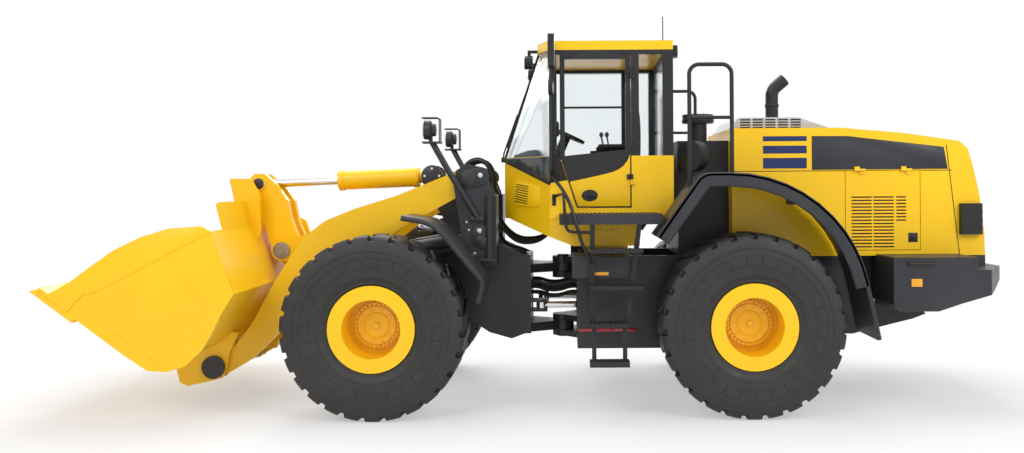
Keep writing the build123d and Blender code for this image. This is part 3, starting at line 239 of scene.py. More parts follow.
def add_plate(form, outline, y_low, y_high, edge=0.0):
    low_ring = [form.verts.new((x, y_low, z)) for x, z in outline]
    high_ring = [form.verts.new((x, y_high, z)) for x, z in outline]
    faces = [form.faces.new(low_ring), form.faces.new(list(reversed(high_ring)))]
    for index in range(len(outline)):
        after = (index + 1) % len(outline)
        faces.append(form.faces.new((low_ring[after], low_ring[index], high_ring[index], high_ring[after])))
    if edge:
        rims = dict.fromkeys(rim for face in faces for rim in face.edges)
        bmesh.ops.bevel(form, geom=list(rims), offset=edge, segments=2, profile=0.5, affect="EDGES")


def add_block(form, low, high, edge=0.004):
    outline = [(low[0], low[2]), (high[0], low[2]), (high[0], high[2]), (low[0], high[2])]
    add_plate(form, outline, low[1], high[1], edge)


def join_rings(form, rings):
    count = len(rings[0])
    for ring, after in zip(rings, rings[1:]):
        for step in range(count):
            turn = (step + 1) % count
            form.faces.new((ring[step], ring[turn], after[turn], after[step]))
    form.faces.new(list(reversed(rings[0])))
    form.faces.new(rings[-1])


def add_turned(form, profile, place, steps=32):
    rings = []
    for radius, height in profile:
        ring = []
        for step in range(steps):
            angle = 2 * math.pi * step / steps
            point = place @ Vector((radius * math.cos(angle), radius * math.sin(angle), height))
            ring.append(form.verts.new(point))
        rings.append(ring)
    join_rings(form, rings)


def add_tube(form, path, radius, bent=True):
    curve = bpy.data.curves.new("tube_path", "CURVE")
    curve.dimensions = "3D"
    curve.bevel_depth = radius
    curve.bevel_resolution = 3
    curve.use_fill_caps = True
    spline = curve.splines.new("NURBS" if bent else "POLY")
    spline.points.add(len(path) - 1)
    for point, place in zip(spline.points, path):
        point.co = (*place, 1)
    if bent:
        spline.order_u = 3
        spline.use_endpoint_u = True
        spline.resolution_u = 6
    holder = bpy.data.objects.new("tube_path", curve)
    mesh = bpy.data.meshes.new_from_object(holder)
    form.from_mesh(mesh)
    bpy.data.objects.remove(holder)
    bpy.data.curves.remove(curve)
    bpy.data.meshes.remove(mesh)


def add_bar(form, path, radius):
    add_tube(form, path, radius, bent=False)


def set_piece(name, form, finish, body, crease=35):
    bmesh.ops.recalc_face_normals(form, faces=form.faces)
    mesh = bpy.data.meshes.new(name)
    form.to_mesh(mesh)
    form.free()
    mesh.materials.clear()
    mesh.materials.append(finish)
    mesh.polygons.foreach_set("material_index", [0] * len(mesh.polygons))
    mesh.polygons.foreach_set("use_smooth", [True] * len(mesh.polygons))
    mesh.set_sharp_from_angle(angle=math.radians(crease))
    piece = bpy.data.objects.new(name, mesh)
    scene.collection.objects.link(piece)
    if body:
        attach(piece, body)
    return piece


def outward(x, y, z, side):
    return Matrix.Translation((x, y, z)) @ Matrix.Rotation(math.radians(-90 * side), 4, "X")


def across(side, one, two):
    return sorted((side * one, side * two))


def add_side_block(form, side, x, y, z, edge=0.004):
    y_low, y_high = across(side, *y)
    add_block(form, (x[0], y_low, z[0]), (x[1], y_high, z[1]), edge)


def keeper_outline(middles, lean, radius):
    outline = []
    for step in range(28):
        angle = 2 * math.pi * step / 28
        middle = middles[0] if math.cos(angle - lean) > 0 else middles[1]
        outline.append((middle[0] + radius * math.cos(angle), middle[1] + radius * math.sin(angle)))
    return outline


boom_keeper = keeper_outline(((-0.545, 2.222), (-0.655, 2.194)), 0.27, 0.092)
lift_keeper = keeper_outline(((-0.535, 1.66), (-0.535, 1.60)), 1.571, 0.088)
pin_cap = [(0.112, 0), (0.112, 0.012), (0.1, 0.02)]
boom_cap = [(0.07, 0), (0.07, 0.012), (0.06, 0.018)]
lift_cap = [(0.05, 0), (0.05, 0.012), (0.04, 0.018)]
tower_trim = bmesh.new()
for side in (-1, 1):
    add_bar(tower_trim, [(-0.452, side * 0.702, 1.405), (-0.452, side * 0.702, 2.03)], 0.048)
    add_side_block(tower_trim, side, (-0.56, -0.395), (0.70, 0.76), (1.392, 1.42))
    add_turned(tower_trim, pin_cap, outward(-1.088, side * 0.13, 2.235, side))
    for outline in (boom_keeper, lift_keeper):
        add_plate(tower_trim, outline, *across(side, 0.700, 0.718), 0.003)
    add_turned(tower_trim, boom_cap, outward(-0.655, side * 0.718, 2.194, side))
    add_turned(tower_trim, lift_cap, outward(-0.535, side * 0.718, 1.59, side))
set_piece("tower_keepers", tower_trim, graphite, "front_frame")

# Pin bolts and small bolts
# Zinc-plated hexagon bolts hold the pin keepers on the towers.
# Each ring is set out by one tree: a head with its stud, repeated round a circle.
zinc_colour = (0.72, 0.72, 0.70)
zinc_dull = (0.55, 0.55, 0.54)


def open_tree(name, sockets, result):
    tree = bpy.data.node_groups.new(name, "GeometryNodeTree")
    for label, kind in sockets:
        tree.interface.new_socket(name=label, in_out="INPUT", socket_type="NodeSocket" + kind)
    tree.interface.new_socket(name="Finish", in_out="INPUT", socket_type="NodeSocketMaterial")
    tree.interface.new_socket(name=result, in_out="OUTPUT", socket_type="NodeSocketGeometry")
    return tree, tree.nodes.new("NodeGroupInput")


def set_out(tree, points, shape, rotation=None):
    repeat = add_node(tree, "GeometryNodeInstanceOnPoints", {"Points": points, "Instance": shape})
    if rotation:
        fill(tree, repeat, {"Rotation": rotation})
    values = {"Geometry": repeat.outputs["Instances"]}
    return add_node(tree, "GeometryNodeRealizeInstances", values).outputs["Geometry"]


def close_tree(tree, start, geometry):
    values = {"Geometry": geometry, "Material": start.outputs["Finish"]}
    painted = add_node(tree, "GeometryNodeSetMaterial", values)
    add_node(tree, "NodeGroupOutput", {0: painted.outputs["Geometry"]})


def bolt_ring_tree():
    sockets = (
        ("Count", "Int"), ("Ring radius", "Float"), ("Head radius", "Float"), ("Head height", "Float"),
        ("Stud radius", "Float"), ("Stud height", "Float"),
    )
    tree, start = open_tree("bolt_ring", sockets, "Bolts")
    given = start.outputs
    values = {"Vertices": given["Count"], "Radius": given["Ring radius"]}
    circle = add_node(tree, "GeometryNodeMeshCircle", values)
    joined = tree.nodes.new("GeometryNodeJoinGeometry")
    for part, corners in (("Head", 6), ("Stud", 10)):
        values = {"Vertices": corners, "Radius": given[part + " radius"], "Depth": given[part + " height"]}
        shape = add_node(tree, "GeometryNodeMeshCylinder", values)
        fill(tree, joined, {"Geometry": shape.outputs["Mesh"]})
    close_tree(tree, start, set_out(tree, circle.outputs["Mesh"], joined.outputs["Geometry"]))
    return tree


def add_baked(form, tree, settings, place):
    holder = bpy.data.objects.new("nodes_holder", bpy.data.meshes.new("nodes_holder"))
    scene.collection.objects.link(holder)
    modifier = holder.modifiers.new("nodes", "NODES")
    modifier.node_group = tree
    for socket in tree.interface.items_tree:
        if socket.in_out == "INPUT":
            modifier[socket.identifier] = settings[socket.name]
    depsgraph = bpy.context.evaluated_depsgraph_get()
    mesh = bpy.data.meshes.new_from_object(holder.evaluated_get(depsgraph))
    holder.modifiers.remove(modifier)
    bpy.data.objects.remove(holder)
    mesh.transform(place)
    form.from_mesh(mesh)
    bpy.data.meshes.remove(mesh)


bolt_ring = bolt_ring_tree()


def add_bolts(form, place, count, ring_radius, head_radius, finish):
    settings = {
        "Count": count, "Ring radius": ring_radius, "Head radius": head_radius, "Finish": finish,
        "Head height": head_radius * 1.6, "Stud radius": head_radius * 0.55, "Stud height": head_radius * 2.4,
    }
    add_baked(form, bolt_ring, settings, place)


def mottled(name, noise, one, two, rough, metallic, bump=None):
    finish, tree, shader = new_finish(name)
    mottle = object_noise(tree, *noise)
    tone = mixed(tree, spread(tree, mottle, 0, 1), one, two)
    fill(tree, shader, {"Base Color": tone, "Roughness": spread(tree, mottle, *rough), "Metallic": metallic})
    if bump:
        bumped(tree, shader, mottle, *bump)
    return finish


zinc = mottled("zinc_plate", (60.0, 3.0), zinc_colour, zinc_dull, (0.25, 0.42), 0.85)
tower_bolts = bmesh.new()
large_bolts = [(-0.541, 2.229), (-0.553, 1.69)]
small_bolts = [(-0.676, 1.775), (-0.657, 1.697), (-0.48, 1.50), (-0.60, 1.47)]
large_head = [(0.026, 0), (0.026, 0.012), (0.016, 0.02)]
small_head = [(0.013, 0), (0.013, 0.008), (0.008, 0.012)]
for side in (-1, 1):
    for bolt_x, bolt_z in large_bolts:
        add_turned(tower_bolts, large_head, outward(bolt_x, side * 0.718, bolt_z, side), 16)
    for bolt_x, bolt_z in small_bolts:
        add_turned(tower_bolts, small_head, outward(bolt_x, side * 0.7, bolt_z, side), 12)
    add_bolts(tower_bolts, outward(-1.088, side * 0.152, 2.235, side), 4, 0.075, 0.014, zinc)
set_piece("tower_bolts", tower_bolts, zinc, "front_frame")

# Tyres
# Deep-lug loader tyres, moulded rubber: heavy shoulder lugs cut by rounded notches,
# a shallow slanting tread between them, rings and short ribs on the side wall.
lug_count = 27
lug_pitch = 2 * math.pi / lug_count
lug_lean = 0.25
lean_width = 0.2
wheel_radius = 0.84
rib_height = 0.004
rib_band = (0.56, 0.642)
notch_floor = 0.792
notch_start = 0.203
tread_cut = 0.018
tyre_half_section = [
    (0.332, 0.283), (0.396, 0.286), (0.404, 0.299), (0.418, 0.306), (0.426, 0.304), (0.470, 0.325),
    (0.474, 0.329), (0.490, 0.331), (0.494, 0.328), (0.545, 0.333), (0.549, 0.337), (0.560, 0.338),
    (0.564, 0.334), (0.604, 0.337), (0.640, 0.336), (0.644, 0.340), (0.656, 0.340), (0.660, 0.335),
    (0.700, 0.331), (0.704, 0.335), (0.714, 0.334), (0.718, 0.329), (0.745, 0.324), (0.775, 0.316),
    (0.806, 0.304), (0.826, 0.287), (0.838, 0.264), (0.840, 0.240), (0.840, 0.207), (0.840, 0.199),
    (0.840, 0.130), (0.840, 0.065), (0.840, 0.0),
]
tyre_stations = [
    (0.0, False, False), (0.015, False, True), (0.045, False, True), (0.06, False, False),
    (0.2, False, False), (0.335, False, False), (0.37, True, False), (0.5, True, False),
    (0.63, True, False), (0.665, False, False), (0.83, False, False), (1.0, False, False),
]
rubber, rubber_tree, rubber_shader = new_finish("tyre_rubber")
rubber_mottle = object_noise(rubber_tree, 9.0, 6.0)
rubber_blend = spread(rubber_tree, rubber_mottle, 0, 1)
rubber_tone = mixed(rubber_tree, rubber_blend, (0.012, 0.012, 0.012), (0.024, 0.023, 0.022))
rubber_dusty = mixed(rubber_tree, low_dust(rubber_tree, 0.06), rubber_tone, (0.20, 0.18, 0.15))
rubber_rough = spread(rubber_tree, rubber_mottle, 0.48, 0.68)
fill(rubber_tree, rubber_shader, {"Base Color": rubber_dusty, "Roughness": rubber_rough})
bumped(rubber_tree, rubber_shader, object_noise(rubber_tree, 120.0, 3.0), 0.1, 0.002)


def tyre_point(radius, y, station):
    along, notched, ribbed = station
    if notched and radius > notch_floor:
        radius = notch_floor if abs(y) > notch_start else radius - tread_cut
    if ribbed and rib_band[0] < radius < rib_band[1]:
        y += math.copysign(rib_height, y)
    lean = math.sin(math.pi / 2 * max(-1.0, min(1.0, y / lean_width)))
    angle = (along - 0.5 + lug_lean * lean) * lug_pitch
    return (radius * math.cos(angle), y, radius * math.sin(angle))


tyre_section = [(radius, -y) for radius, y in tyre_half_section]
tyre_section += [(radius, y) for radius, y in reversed(tyre_half_section[:-1])]
lug_points = []
lug_faces = []
section_count = len(tyre_section)
for station in tyre_stations:
    lug_points.extend(tyre_point(radius, y, station) for radius, y in tyre_section)
for row in range(len(tyre_stations) - 1):
    for place in range(section_count):
        after = (place + 1) % section_count
        near = row * section_count
        far = near + section_count
        lug_faces.append((near + place, near + after, far + after, far + place))
lug_mesh = bpy.data.meshes.new("tyre_lug")
lug_mesh.from_pydata(lug_points, [], lug_faces)
tyre_lug = bpy.data.objects.new("tyre_lug", lug_mesh)
scene.collection.objects.link(tyre_lug)


def lug_circle_tree():
    tree, start = open_tree("lug_circle", (("Lug", "Object"), ("Count", "Int"), ("Pitch", "Float")), "Tyre")
    given = start.outputs
    shape = add_node(tree, "GeometryNodeObjectInfo", {"Object": given["Lug"]})
    points = add_node(tree, "GeometryNodePoints", {"Count": given["Count"]})
    number = tree.nodes.new("GeometryNodeInputIndex").outputs["Index"]
    values = {"Axis": (0, 1, 0), "Angle": add_math(tree, "MULTIPLY", number, given["Pitch"])}
    turn = add_node(tree, "FunctionNodeAxisAngleToRotation", values)
    ring = set_out(tree, points.outputs[0], shape.outputs["Geometry"], turn.outputs["Rotation"])
    closed = add_node(tree, "GeometryNodeMergeByDistance", {"Geometry": ring, "Distance": 0.0003})
    close_tree(tree, start, closed.outputs["Geometry"])
    return tree


lug_circle = lug_circle_tree()
wheel_places = {
    "front_left": (-1.467, -1.15, 0), "front_right": (-1.467, 1.15, 180), "rear_left": (1.983, -1.15, 0),
    "rear_right": (1.983, 1.15, 180),
}


def wheel_matrix(corner):
    x, y, turn = wheel_places[corner]
    return Matrix.Translation((x, y, wheel_radius)) @ Matrix.Rotation(math.radians(turn), 4, "Z")


for corner in wheel_places:
    tyre_form = bmesh.new()
    tyre_settings = {"Lug": tyre_lug, "Count": lug_count, "Pitch": lug_pitch, "Finish": rubber}
    add_baked(tyre_form, lug_circle, tyre_settings, wheel_matrix(corner))
    tyre = set_piece("lugged_tyre_" + corner, tyre_form, rubber, "wheel_" + corner, 28)
    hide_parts("tyre_" + corner)
bpy.data.objects.remove(tyre_lug)

# Rims
# Pressed and welded steel rims in yellow enamel, a lock ring at the flange,
# a ring of wheel nuts round the planet gear's cover, and the cover's plug.
yellow_colour = (1.0, 0.60, 0.004)
yellow_worn = (0.97, 0.57, 0.006)
yellow = sprayed("yellow_enamel", yellow_colour, yellow_worn, 0.34, 0.2, 0.02, 0.01)
coat(yellow, "rim_front_left", "rim_front_right", "rim_rear_left", "rim_rear_right")
for corner in wheel_places:
    rim_form = bmesh.new()
    wheel_face = wheel_matrix(corner) @ Matrix.Rotation(math.radians(90), 4, "X")
    add_bolts(rim_form, wheel_face @ Matrix.Translation((0, 0, 0.011)), 30, 0.196, 0.0145, yellow)
    add_bolts(rim_form, wheel_face @ Matrix.Translation((0, 0, 0.029)), 10, 0.15, 0.008, yellow)
    add_turned(rim_form, [(0.12, 0.024), (0.12, 0.03), (0.105, 0.036), (0.05, 0.036)], wheel_face, 40)
    add_turned(rim_form, [(0.034, 0.034), (0.034, 0.05), (0.026, 0.056)], wheel_face, 6)
    set_piece("hub_nuts_" + corner, rim_form, yellow, "wheel_" + corner)

# Fenders
# Rolled plate in graphite enamel: a plain curved band over each front tyre on the tower,
# and over each rear tyre a band with a flap behind and a deeper skirt along its outer edge.
front_fender_line = [(-1.200, 1.839), (-0.907, 1.790), (-0.461, 1.250), (-0.515, 1.066)]
arch_line = [(1.126, 1.649), (1.525, 2.216), (2.777, 2.216), (3.095, 0.724)]
skirt_line = [(1.155, 1.625), (1.549, 2.170), (2.740, 2.170), (2.948, 1.195)]


def rounded_line(points, radii, steps=10):
    line = [Vector(points[0])]
    for before, corner, after, radius in zip(points, points[1:], points[2:], radii):
        back = (Vector(before) - Vector(corner)).normalized()
        onward = (Vector(after) - Vector(corner)).normalized()
        half = back.angle(onward) / 2
        middle = Vector(corner) + (back + onward).normalized() * radius / math.sin(half)
        start = Vector(corner) + back * radius / math.tan(half) - middle
        stop = Vector(corner) + onward * radius / math.tan(half) - middle
        first = math.atan2(start.y, start.x)
        turn = math.atan2(start.x * stop.y - start.y * stop.x, start.dot(stop))
        for step in range(steps + 1):
            angle = first + turn * step / steps
            line.append(middle + radius * Vector((math.cos(angle), math.sin(angle))))
    line.append(Vector(points[-1]))
    return line


def add_band(form, line, width, y_low, y_high, edge):
    half = width / 2
    section = [
        (half, y_low + edge), (half, y_high - edge), (half - edge, y_high), (edge - half, y_high),
        (-half, y_high - edge), (-half, y_low + edge), (edge - half, y_low), (half - edge, y_low),
    ]
    rings = []
    for index, point in enumerate(line):
        way = (line[min(index + 1, len(line) - 1)] - line[max(index - 1, 0)]).normalized()
        sideways = Vector((-way.y, way.x))
        ring = []
        for offset, y in section:
            place = point + sideways * offset
            ring.append(form.verts.new((place.x, y, place.y)))
        rings.append(ring)
    join_rings(form, rings)


front_bands = bmesh.new()
rear_bands = bmesh.new()
front_curve = rounded_line(front_fender_line, (0.38, 0.09))
arch_curve = rounded_line(arch_line, (0.15, 1.25))
skirt_curve = rounded_line(skirt_line, (0.10, 1.20))
for side in (-1, 1):
    add_band(front_bands, front_curve, 0.048, *across(side, 0.70, 1.42), 0.014)
    add_band(rear_bands, arch_curve, 0.038, *across(side, 0.83, 1.48), 0.008)
    add_band(rear_bands, skirt_curve, 0.13, *across(side, 1.44, 1.48), 0.012)
    for bracket_x, bracket_z in (((1.96, 2.06), (2.11, 2.20)), ((2.42, 2.50), (1.93, 2.01))):
        add_side_block(rear_bands, side, bracket_x, (0.78, 0.87), bracket_z)
front_fender = set_piece("front_fender_bands", front_bands, graphite, "front_frame")
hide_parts("front_fenders")
rear_fender = set_piece("rear_fender_bands", rear_bands, graphite, "rear_frame")
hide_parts("rear_fenders")

# Front lamps and roof lamps
# Round work lamps with ribbed clear lenses: black ones at the roof, and two in graphite
# on bent posts that are bolted to the towers, each behind a wire guard.
lamp_x = -1.0
lamp_y = 0.87
lamp_z = 2.665
lamp_shelf = 2.545
lamp_posts = bmesh.new()
guard_top = 2.779
guard_half = 0.06
lamp_housing = [(0.03, -0.055), (0.06, -0.05), (0.062, -0.02), (0.092, 0.0), (0.092, 0.052), (0.088, 0.06)]
ahead = Matrix.Rotation(math.radians(-90), 4, "Y")
behind = Matrix.Rotation(math.radians(90), 4, "Y")
for side in (-1, 1):
    middle_y = side * lamp_y
    post_path = [(-0.57, side * 0.73, 1.82), (-0.80, side * 0.815, 2.21), (-0.83, side * 0.825, 2.26),
                 (-0.985, middle_y, lamp_shelf)]
    add_bar(lamp_posts, post_path, 0.03)
    add_side_block(lamp_posts, side, (-0.64, -0.50), (0.70, 0.75), (1.79, 1.83))
    add_side_block(lamp_posts, side, (lamp_x - 0.075, lamp_x + 0.105), (lamp_y - 0.07, lamp_y + 0.07),
                   (lamp_shelf - 0.01, lamp_shelf + 0.008), 0.003)
    stem = [(lamp_x, middle_y, lamp_shelf), (lamp_x, middle_y, lamp_z - 0.06)]
    add_bar(lamp_posts, stem, 0.02)
    add_turned(lamp_posts, lamp_housing, Matrix.Translation((lamp_x, middle_y, lamp_z)) @ ahead, 36)
    for guard_y in (middle_y - guard_half, middle_y + guard_half):
        guard = [(0.09, lamp_shelf), (0.09, 2.72), (0.09, guard_top), (0.03, guard_top), (-0.08, guard_top)]
        add_tube(lamp_posts, [(lamp_x + x, guard_y, z) for x, z in guard], 0.006)
    guard_bar = [(lamp_x - 0.075, middle_y + end * guard_half, guard_top) for end in (-1, 1)]
    add_bar(lamp_posts, guard_bar, 0.005)
posts = set_piece("lamp_posts", lamp_posts, graphite, "front_frame")
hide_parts("front_lamps")
clear, clear_tree, clear_shader = new_finish("lamp_lens")
lens_ribs = clear_tree.nodes.new("ShaderNodeTexWave")
lens_frame = clear_tree.nodes.new("ShaderNodeTexCoord").outputs["Object"]
lens_ribs.bands_direction = "Y"
fill(clear_tree, lens_ribs, {"Vector": lens_frame, "Scale": 40.0})
clear_tone = mixed(clear_tree, lens_ribs.outputs["Fac"], (0.62, 0.65, 0.68), (0.80, 0.82, 0.84))
fill(clear_tree, clear_shader, {"Base Color": clear_tone, "Roughness": 0.12, "Metallic": 0.4})
bumped(clear_tree, clear_shader, lens_ribs.outputs["Fac"], 0.2, 0.002)
post_lenses = bmesh.new()
roof_lenses = bmesh.new()
for side in (-1, 1):
    lens_profile = [(0.084, 0), (0.084, 0.004), (0.07, 0.012), (0.04, 0.017), (0.01, 0.018)]
    lens_place = Matrix.Translation((lamp_x - 0.06, side * lamp_y, lamp_z))
    add_turned(post_lenses, lens_profile, lens_place @ ahead, 32)
    roof_profile = [(0.06, 0), (0.06, 0.004), (0.05, 0.01), (0.02, 0.014)]
    add_turned(roof_lenses, roof_profile, Matrix.Translation((-0.11, side * 0.5, 3.352)) @ ahead, 28)
    add_turned(roof_lenses, roof_profile, Matrix.Translation((1.39, side * 0.62, 3.435)) @ behind, 28)
set_piece("post_lamp_lenses", post_lenses, clear, "front_frame")
set_piece("roof_lamp_lenses", roof_lenses, clear, "rear_frame")
coat(black, "roof_lamps")

# Boom, bellcrank and bucket
# Plate weldments in yellow enamel. The pins at the bellcrank's ends have keepers with a bolt,
# and the bucket's side plates carry a raised strip along the top edge and two pressed beads.
coat(yellow, "bucket", "boom", "bellcrank", "bucket_link", "cutting_edge")
steel_grain = (14.0, 5.0, (1, 0.15, 1))
steel_bump = (0.08, 0.003)
steel_pale = (0.36, 0.34, 0.31)
steel_dark = (0.22, 0.21, 0.2)
steel = mottled("wear_steel", steel_grain, steel_pale, steel_dark, (0.38, 0.6), 0.9, steel_bump)
coat(steel, "bellcrank_pin")
coat(graphite, "bucket_pins")
rod_cap = [(0.055, 0), (0.055, 0.006), (0.046, 0.012)]
link_cap = [(0.062, 0), (0.062, 0.006), (0.05, 0.012)]
head_caps = bmesh.new()
head_bolts = bmesh.new()
for side in (-1, 1):
    add_turned(head_caps, rod_cap, outward(-2.868, side * 0.183, 2.164, side))
    add_turned(head_caps, link_cap, outward(-2.038, side * 0.177, 0.903, side))
    add_bolts(head_bolts, outward(-2.868, side * 0.186, 2.164, side), 3, 0.062, 0.009, zinc)
    add_bolts(head_bolts, outward(-2.038, side * 0.168, 0.903, side), 3, 0.075, 0.009, zinc)
set_piece("bellcrank_caps", head_caps, graphite, "bellcrank")
set_piece("bellcrank_bolts", head_bolts, zinc, "bellcrank")
bucket_beads = bmesh.new()
strip_low = [(-2.85, 1.734), (-3.894, 1.195), (-3.978, 1.194), (-4.13, 1.03), (-4.396, 1.223)]
strip_high = [(-4.283, 1.192), (-4.10, 1.297), (-3.91, 1.437), (-3.70, 1.582), (-3.46, 1.696), (-3.20, 1.764),
              (-2.933, 1.784)]
for side in (-1, 1):
    add_plate(bucket_beads, strip_low + strip_high, *across(side, 1.585, 1.593), 0.003)
    for start, stop in (((-3.84, 0.95), (-3.30, 0.56)), ((-3.09, 1.29), (-2.90, 1.08))):
        bead = [(x, side * 1.584, z) for x, z in (start, stop)]
        add_bar(bucket_beads, bead, 0.009)
set_piece("bucket_beads", bucket_beads, yellow, "bucket")

# Cylinders
# Honed steel barrels, yellow on the tilt cylinder and black on the lift and steering cylinders,
# with hard-chromed rods and a bolted gland at each mouth.
chrome_lines = (30.0, 2.0, (0.2, 3, 3))
chrome = mottled("hard_chrome", chrome_lines, (0.75, 0.75, 0.76), (0.68, 0.68, 0.7), (0.08, 0.16), 1.0)
coat(chrome, "tilt_rod", "lift_rods", "steer_rod_left", "steer_rod_right")
coat(yellow, "tilt_barrel")
coat(black, "lift_barrels", "steer_barrel_left", "steer_barrel_right")


def aimed(start, end, distance):
    way = (Vector(end) - Vector(start)).normalized()
    turn = way.to_track_quat("Z", "Y").to_matrix().to_4x4()
    return Matrix.Translation(Vector(start) + way * distance) @ turn


tilt_gland = bmesh.new()
tilt_line = ((-1.088, 0, 2.235), (-2.868, 0, 2.164))
gland_profile = [(0.1, 0), (0.108, 0.006), (0.108, 0.05), (0.1, 0.056)]
add_turned(tilt_gland, gland_profile, aimed(*tilt_line, 0.16), 40)
add_turned(tilt_gland, gland_profile, aimed(*tilt_line, 0.93), 40)
add_bolts(tilt_gland, aimed(*tilt_line, 0.992), 8, 0.078, 0.009, yellow)
set_piece("tilt_gland", tilt_gland, yellow, "tilt_barrel")
lift_gland = bmesh.new()
for side in (-1, 1):
    lift_line = ((-0.535, side * 0.485, 1.61), (-1.83, side * 0.485, 1.39))
    lift_length = (Vector(lift_line[1]) - Vector(lift_line[0])).length
    lift_profile = [(0.085, 0), (0.092, 0.005), (0.092, 0.045), (0.085, 0.05)]
    add_turned(lift_gland, lift_profile, aimed(*lift_line, 0.16), 36)
    add_turned(lift_gland, lift_profile, aimed(*lift_line, lift_length - 0.33), 36)
set_piece("lift_glands", lift_gland, black, "lift_barrels")

# Hydraulic hoses
# Braided rubber hoses with crimped ends, held at both ends by the frames.
# Arcs pass over the towers, a loop droops below the cab's nose and six runs cross the hitch.
hose_rubber = sprayed("hose_rubber", (0.008, 0.008, 0.008), (0.014, 0.014, 0.014), 0.55, 0.0, 0.08)
hose_radius = 0.016
tower_hoses = bmesh.new()
for hose_y, hose_top in ((-0.30, 2.385), (-0.25, 2.405), (-0.20, 2.38), (0.22, 2.40), (0.28, 2.385)):
    tower_path = [
        (-0.80, hose_y, 1.79), (-0.83, hose_y, 2.00), (-0.78, hose_y, 2.28), (-0.68, hose_y, hose_top),
        (-0.54, hose_y, hose_top), (-0.465, hose_y, 2.27), (-0.465, hose_y, 2.0), (-0.45, hose_y, 1.70),
        (-0.36, hose_y, 1.50), (-0.20, hose_y, 1.47), (-0.10, hose_y, 1.42),
    ]
    add_tube(tower_hoses, tower_path, hose_radius)
set_piece("tower_hoses", tower_hoses, hose_rubber, "front_frame")
hitch_hoses = bmesh.new()
hitch_runs = ((-0.34, 1.16), (-0.26, 1.10), (-0.18, 1.035), (0.34, 1.13), (0.26, 1.065), (0.18, 1.00))
for hose_y, hose_z in hitch_runs:
    hitch_path = [
        (-0.07, hose_y, hose_z), (0.0, hose_y, hose_z + 0.005), (0.1, hose_y, hose_z - 0.035),
        (0.23, hose_y, hose_z - 0.035), (0.33, hose_y, hose_z + 0.005), (0.402, hose_y, hose_z),
    ]
    add_tube(hitch_hoses, hitch_path, hose_radius + 0.003)
crossing = set_piece("hitch_hoses", hitch_hoses, hose_rubber, None)
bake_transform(crossing)
droop_hoses = bmesh.new()
for hose_y, hose_low in ((-0.27, 1.545), (-0.20, 1.565), (0.2, 1.55), (0.27, 1.57)):
    droop_path = [
        (-0.46, hose_y, 1.93), (-0.43, hose_y, 1.80), (-0.33, hose_y, 1.66), (-0.20, hose_y, hose_low),
        (-0.02, hose_y, hose_low), (0.10, hose_y, 1.62), (0.15, hose_y, 1.70), (0.16, hose_y, 1.80),
    ]
    add_tube(droop_hoses, droop_path, hose_radius)
droop = set_piece("droop_hoses", droop_hoses, hose_rubber, None)
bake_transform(droop)

# Hood
# Sheet steel in yellow enamel with film stripes and a bare graphite panel on each side,
# rubber in the seams, and on each side door a latch and rows of pressed louvres set out by one tree,
# their openings drawn as dark strips of painted shade.
coat(yellow, "hood", "hood_door_left", "hood_door_right")
navy = sprayed("navy_film", (0.006, 0.018, 0.105), (0.008, 0.022, 0.12), 0.38, 0.2)
# Near-black for seam rubber and black trim, also used as painted shade in the louvre and slot openings.
black_trim_and_slot_shade = sprayed("black_trim_and_slot_shade", (0.012, 0.011, 0.009), (0.02, 0.018, 0.014), 0.7, 0.0)
stripe_bars = [(2.542, 2.590), (2.423, 2.498), (2.278, 2.380)]
panel_outline = [(2.672, 2.263), (3.985, 2.266), (3.948, 2.478), (3.10, 2.578), (3.02, 2.588), (2.672, 2.590)]
hood_stripes = bmesh.new()
hood_panels = bmesh.new()
hood_seams = bmesh.new()
hood_face = 0.78
for side in (-1, 1):
    film = across(side, hood_face, hood_face + 0.0015)
    for low, high in stripe_bars:
        add_plate(hood_stripes, [(2.200, low), (2.623, low), (2.623, high), (2.200, high)], *film)
    add_plate(hood_panels, panel_outline, *across(side, hood_face, hood_face + 0.003), 0.001)
    seam = across(side, hood_face - 0.004, hood_face + 0.001)
    add_plate(hood_seams, [(1.905, 2.249), (2.985, 2.249), (2.985, 2.256), (1.905, 2.256)], *seam)
    add_plate(hood_seams, [(3.726, 2.249), (4.03, 2.249), (4.03, 2.256), (3.726, 2.256)], *seam)
    add_plate(hood_seams, [(3.968, 2.50), (3.976, 2.50), (4.098, 1.44), (4.090, 1.44)], *seam)
set_piece("hood_stripes", hood_stripes, navy, "rear_frame")
set_piece("hood_panels", hood_panels, graphite, "rear_frame")
set_piece("hood_seams", hood_seams, black_trim_and_slot_shade, "rear_frame")


def grid_tree(name, shape_kind, shape_sockets, result):
    sockets = [("Length", "Float"), ("Width", "Float"), ("Columns", "Int"), ("Rows", "Int")]
    sockets += [(label, kind) for label, kind, target in shape_sockets]
    tree, start = open_tree(name, sockets, result)
    given = start.outputs
    grid = add_node(tree, "GeometryNodeMeshGrid", {
        "Size X": given["Length"], "Size Y": given["Width"], "Vertices X": given["Columns"],
        "Vertices Y": given["Rows"],
    })
    shape = add_node(tree, shape_kind, {target: given[label] for label, kind, target in shape_sockets})
    close_tree(tree, start, set_out(tree, grid.outputs["Mesh"], shape.outputs["Mesh"]))
    return tree


slot_grid = grid_tree("slot_grid", "GeometryNodeMeshCube", (("Slot size", "Vector", "Size"),), "Slots")


def add_slots(form, place, pitch, counts, size, finish):
    settings = {
        "Length": pitch[0] * (counts[0] - 1), "Width": pitch[1] * (counts[1] - 1), "Columns": counts[0],
        "Rows": counts[1], "Slot size": size, "Finish": finish,
    }
    add_baked(form, slot_grid, settings, place)


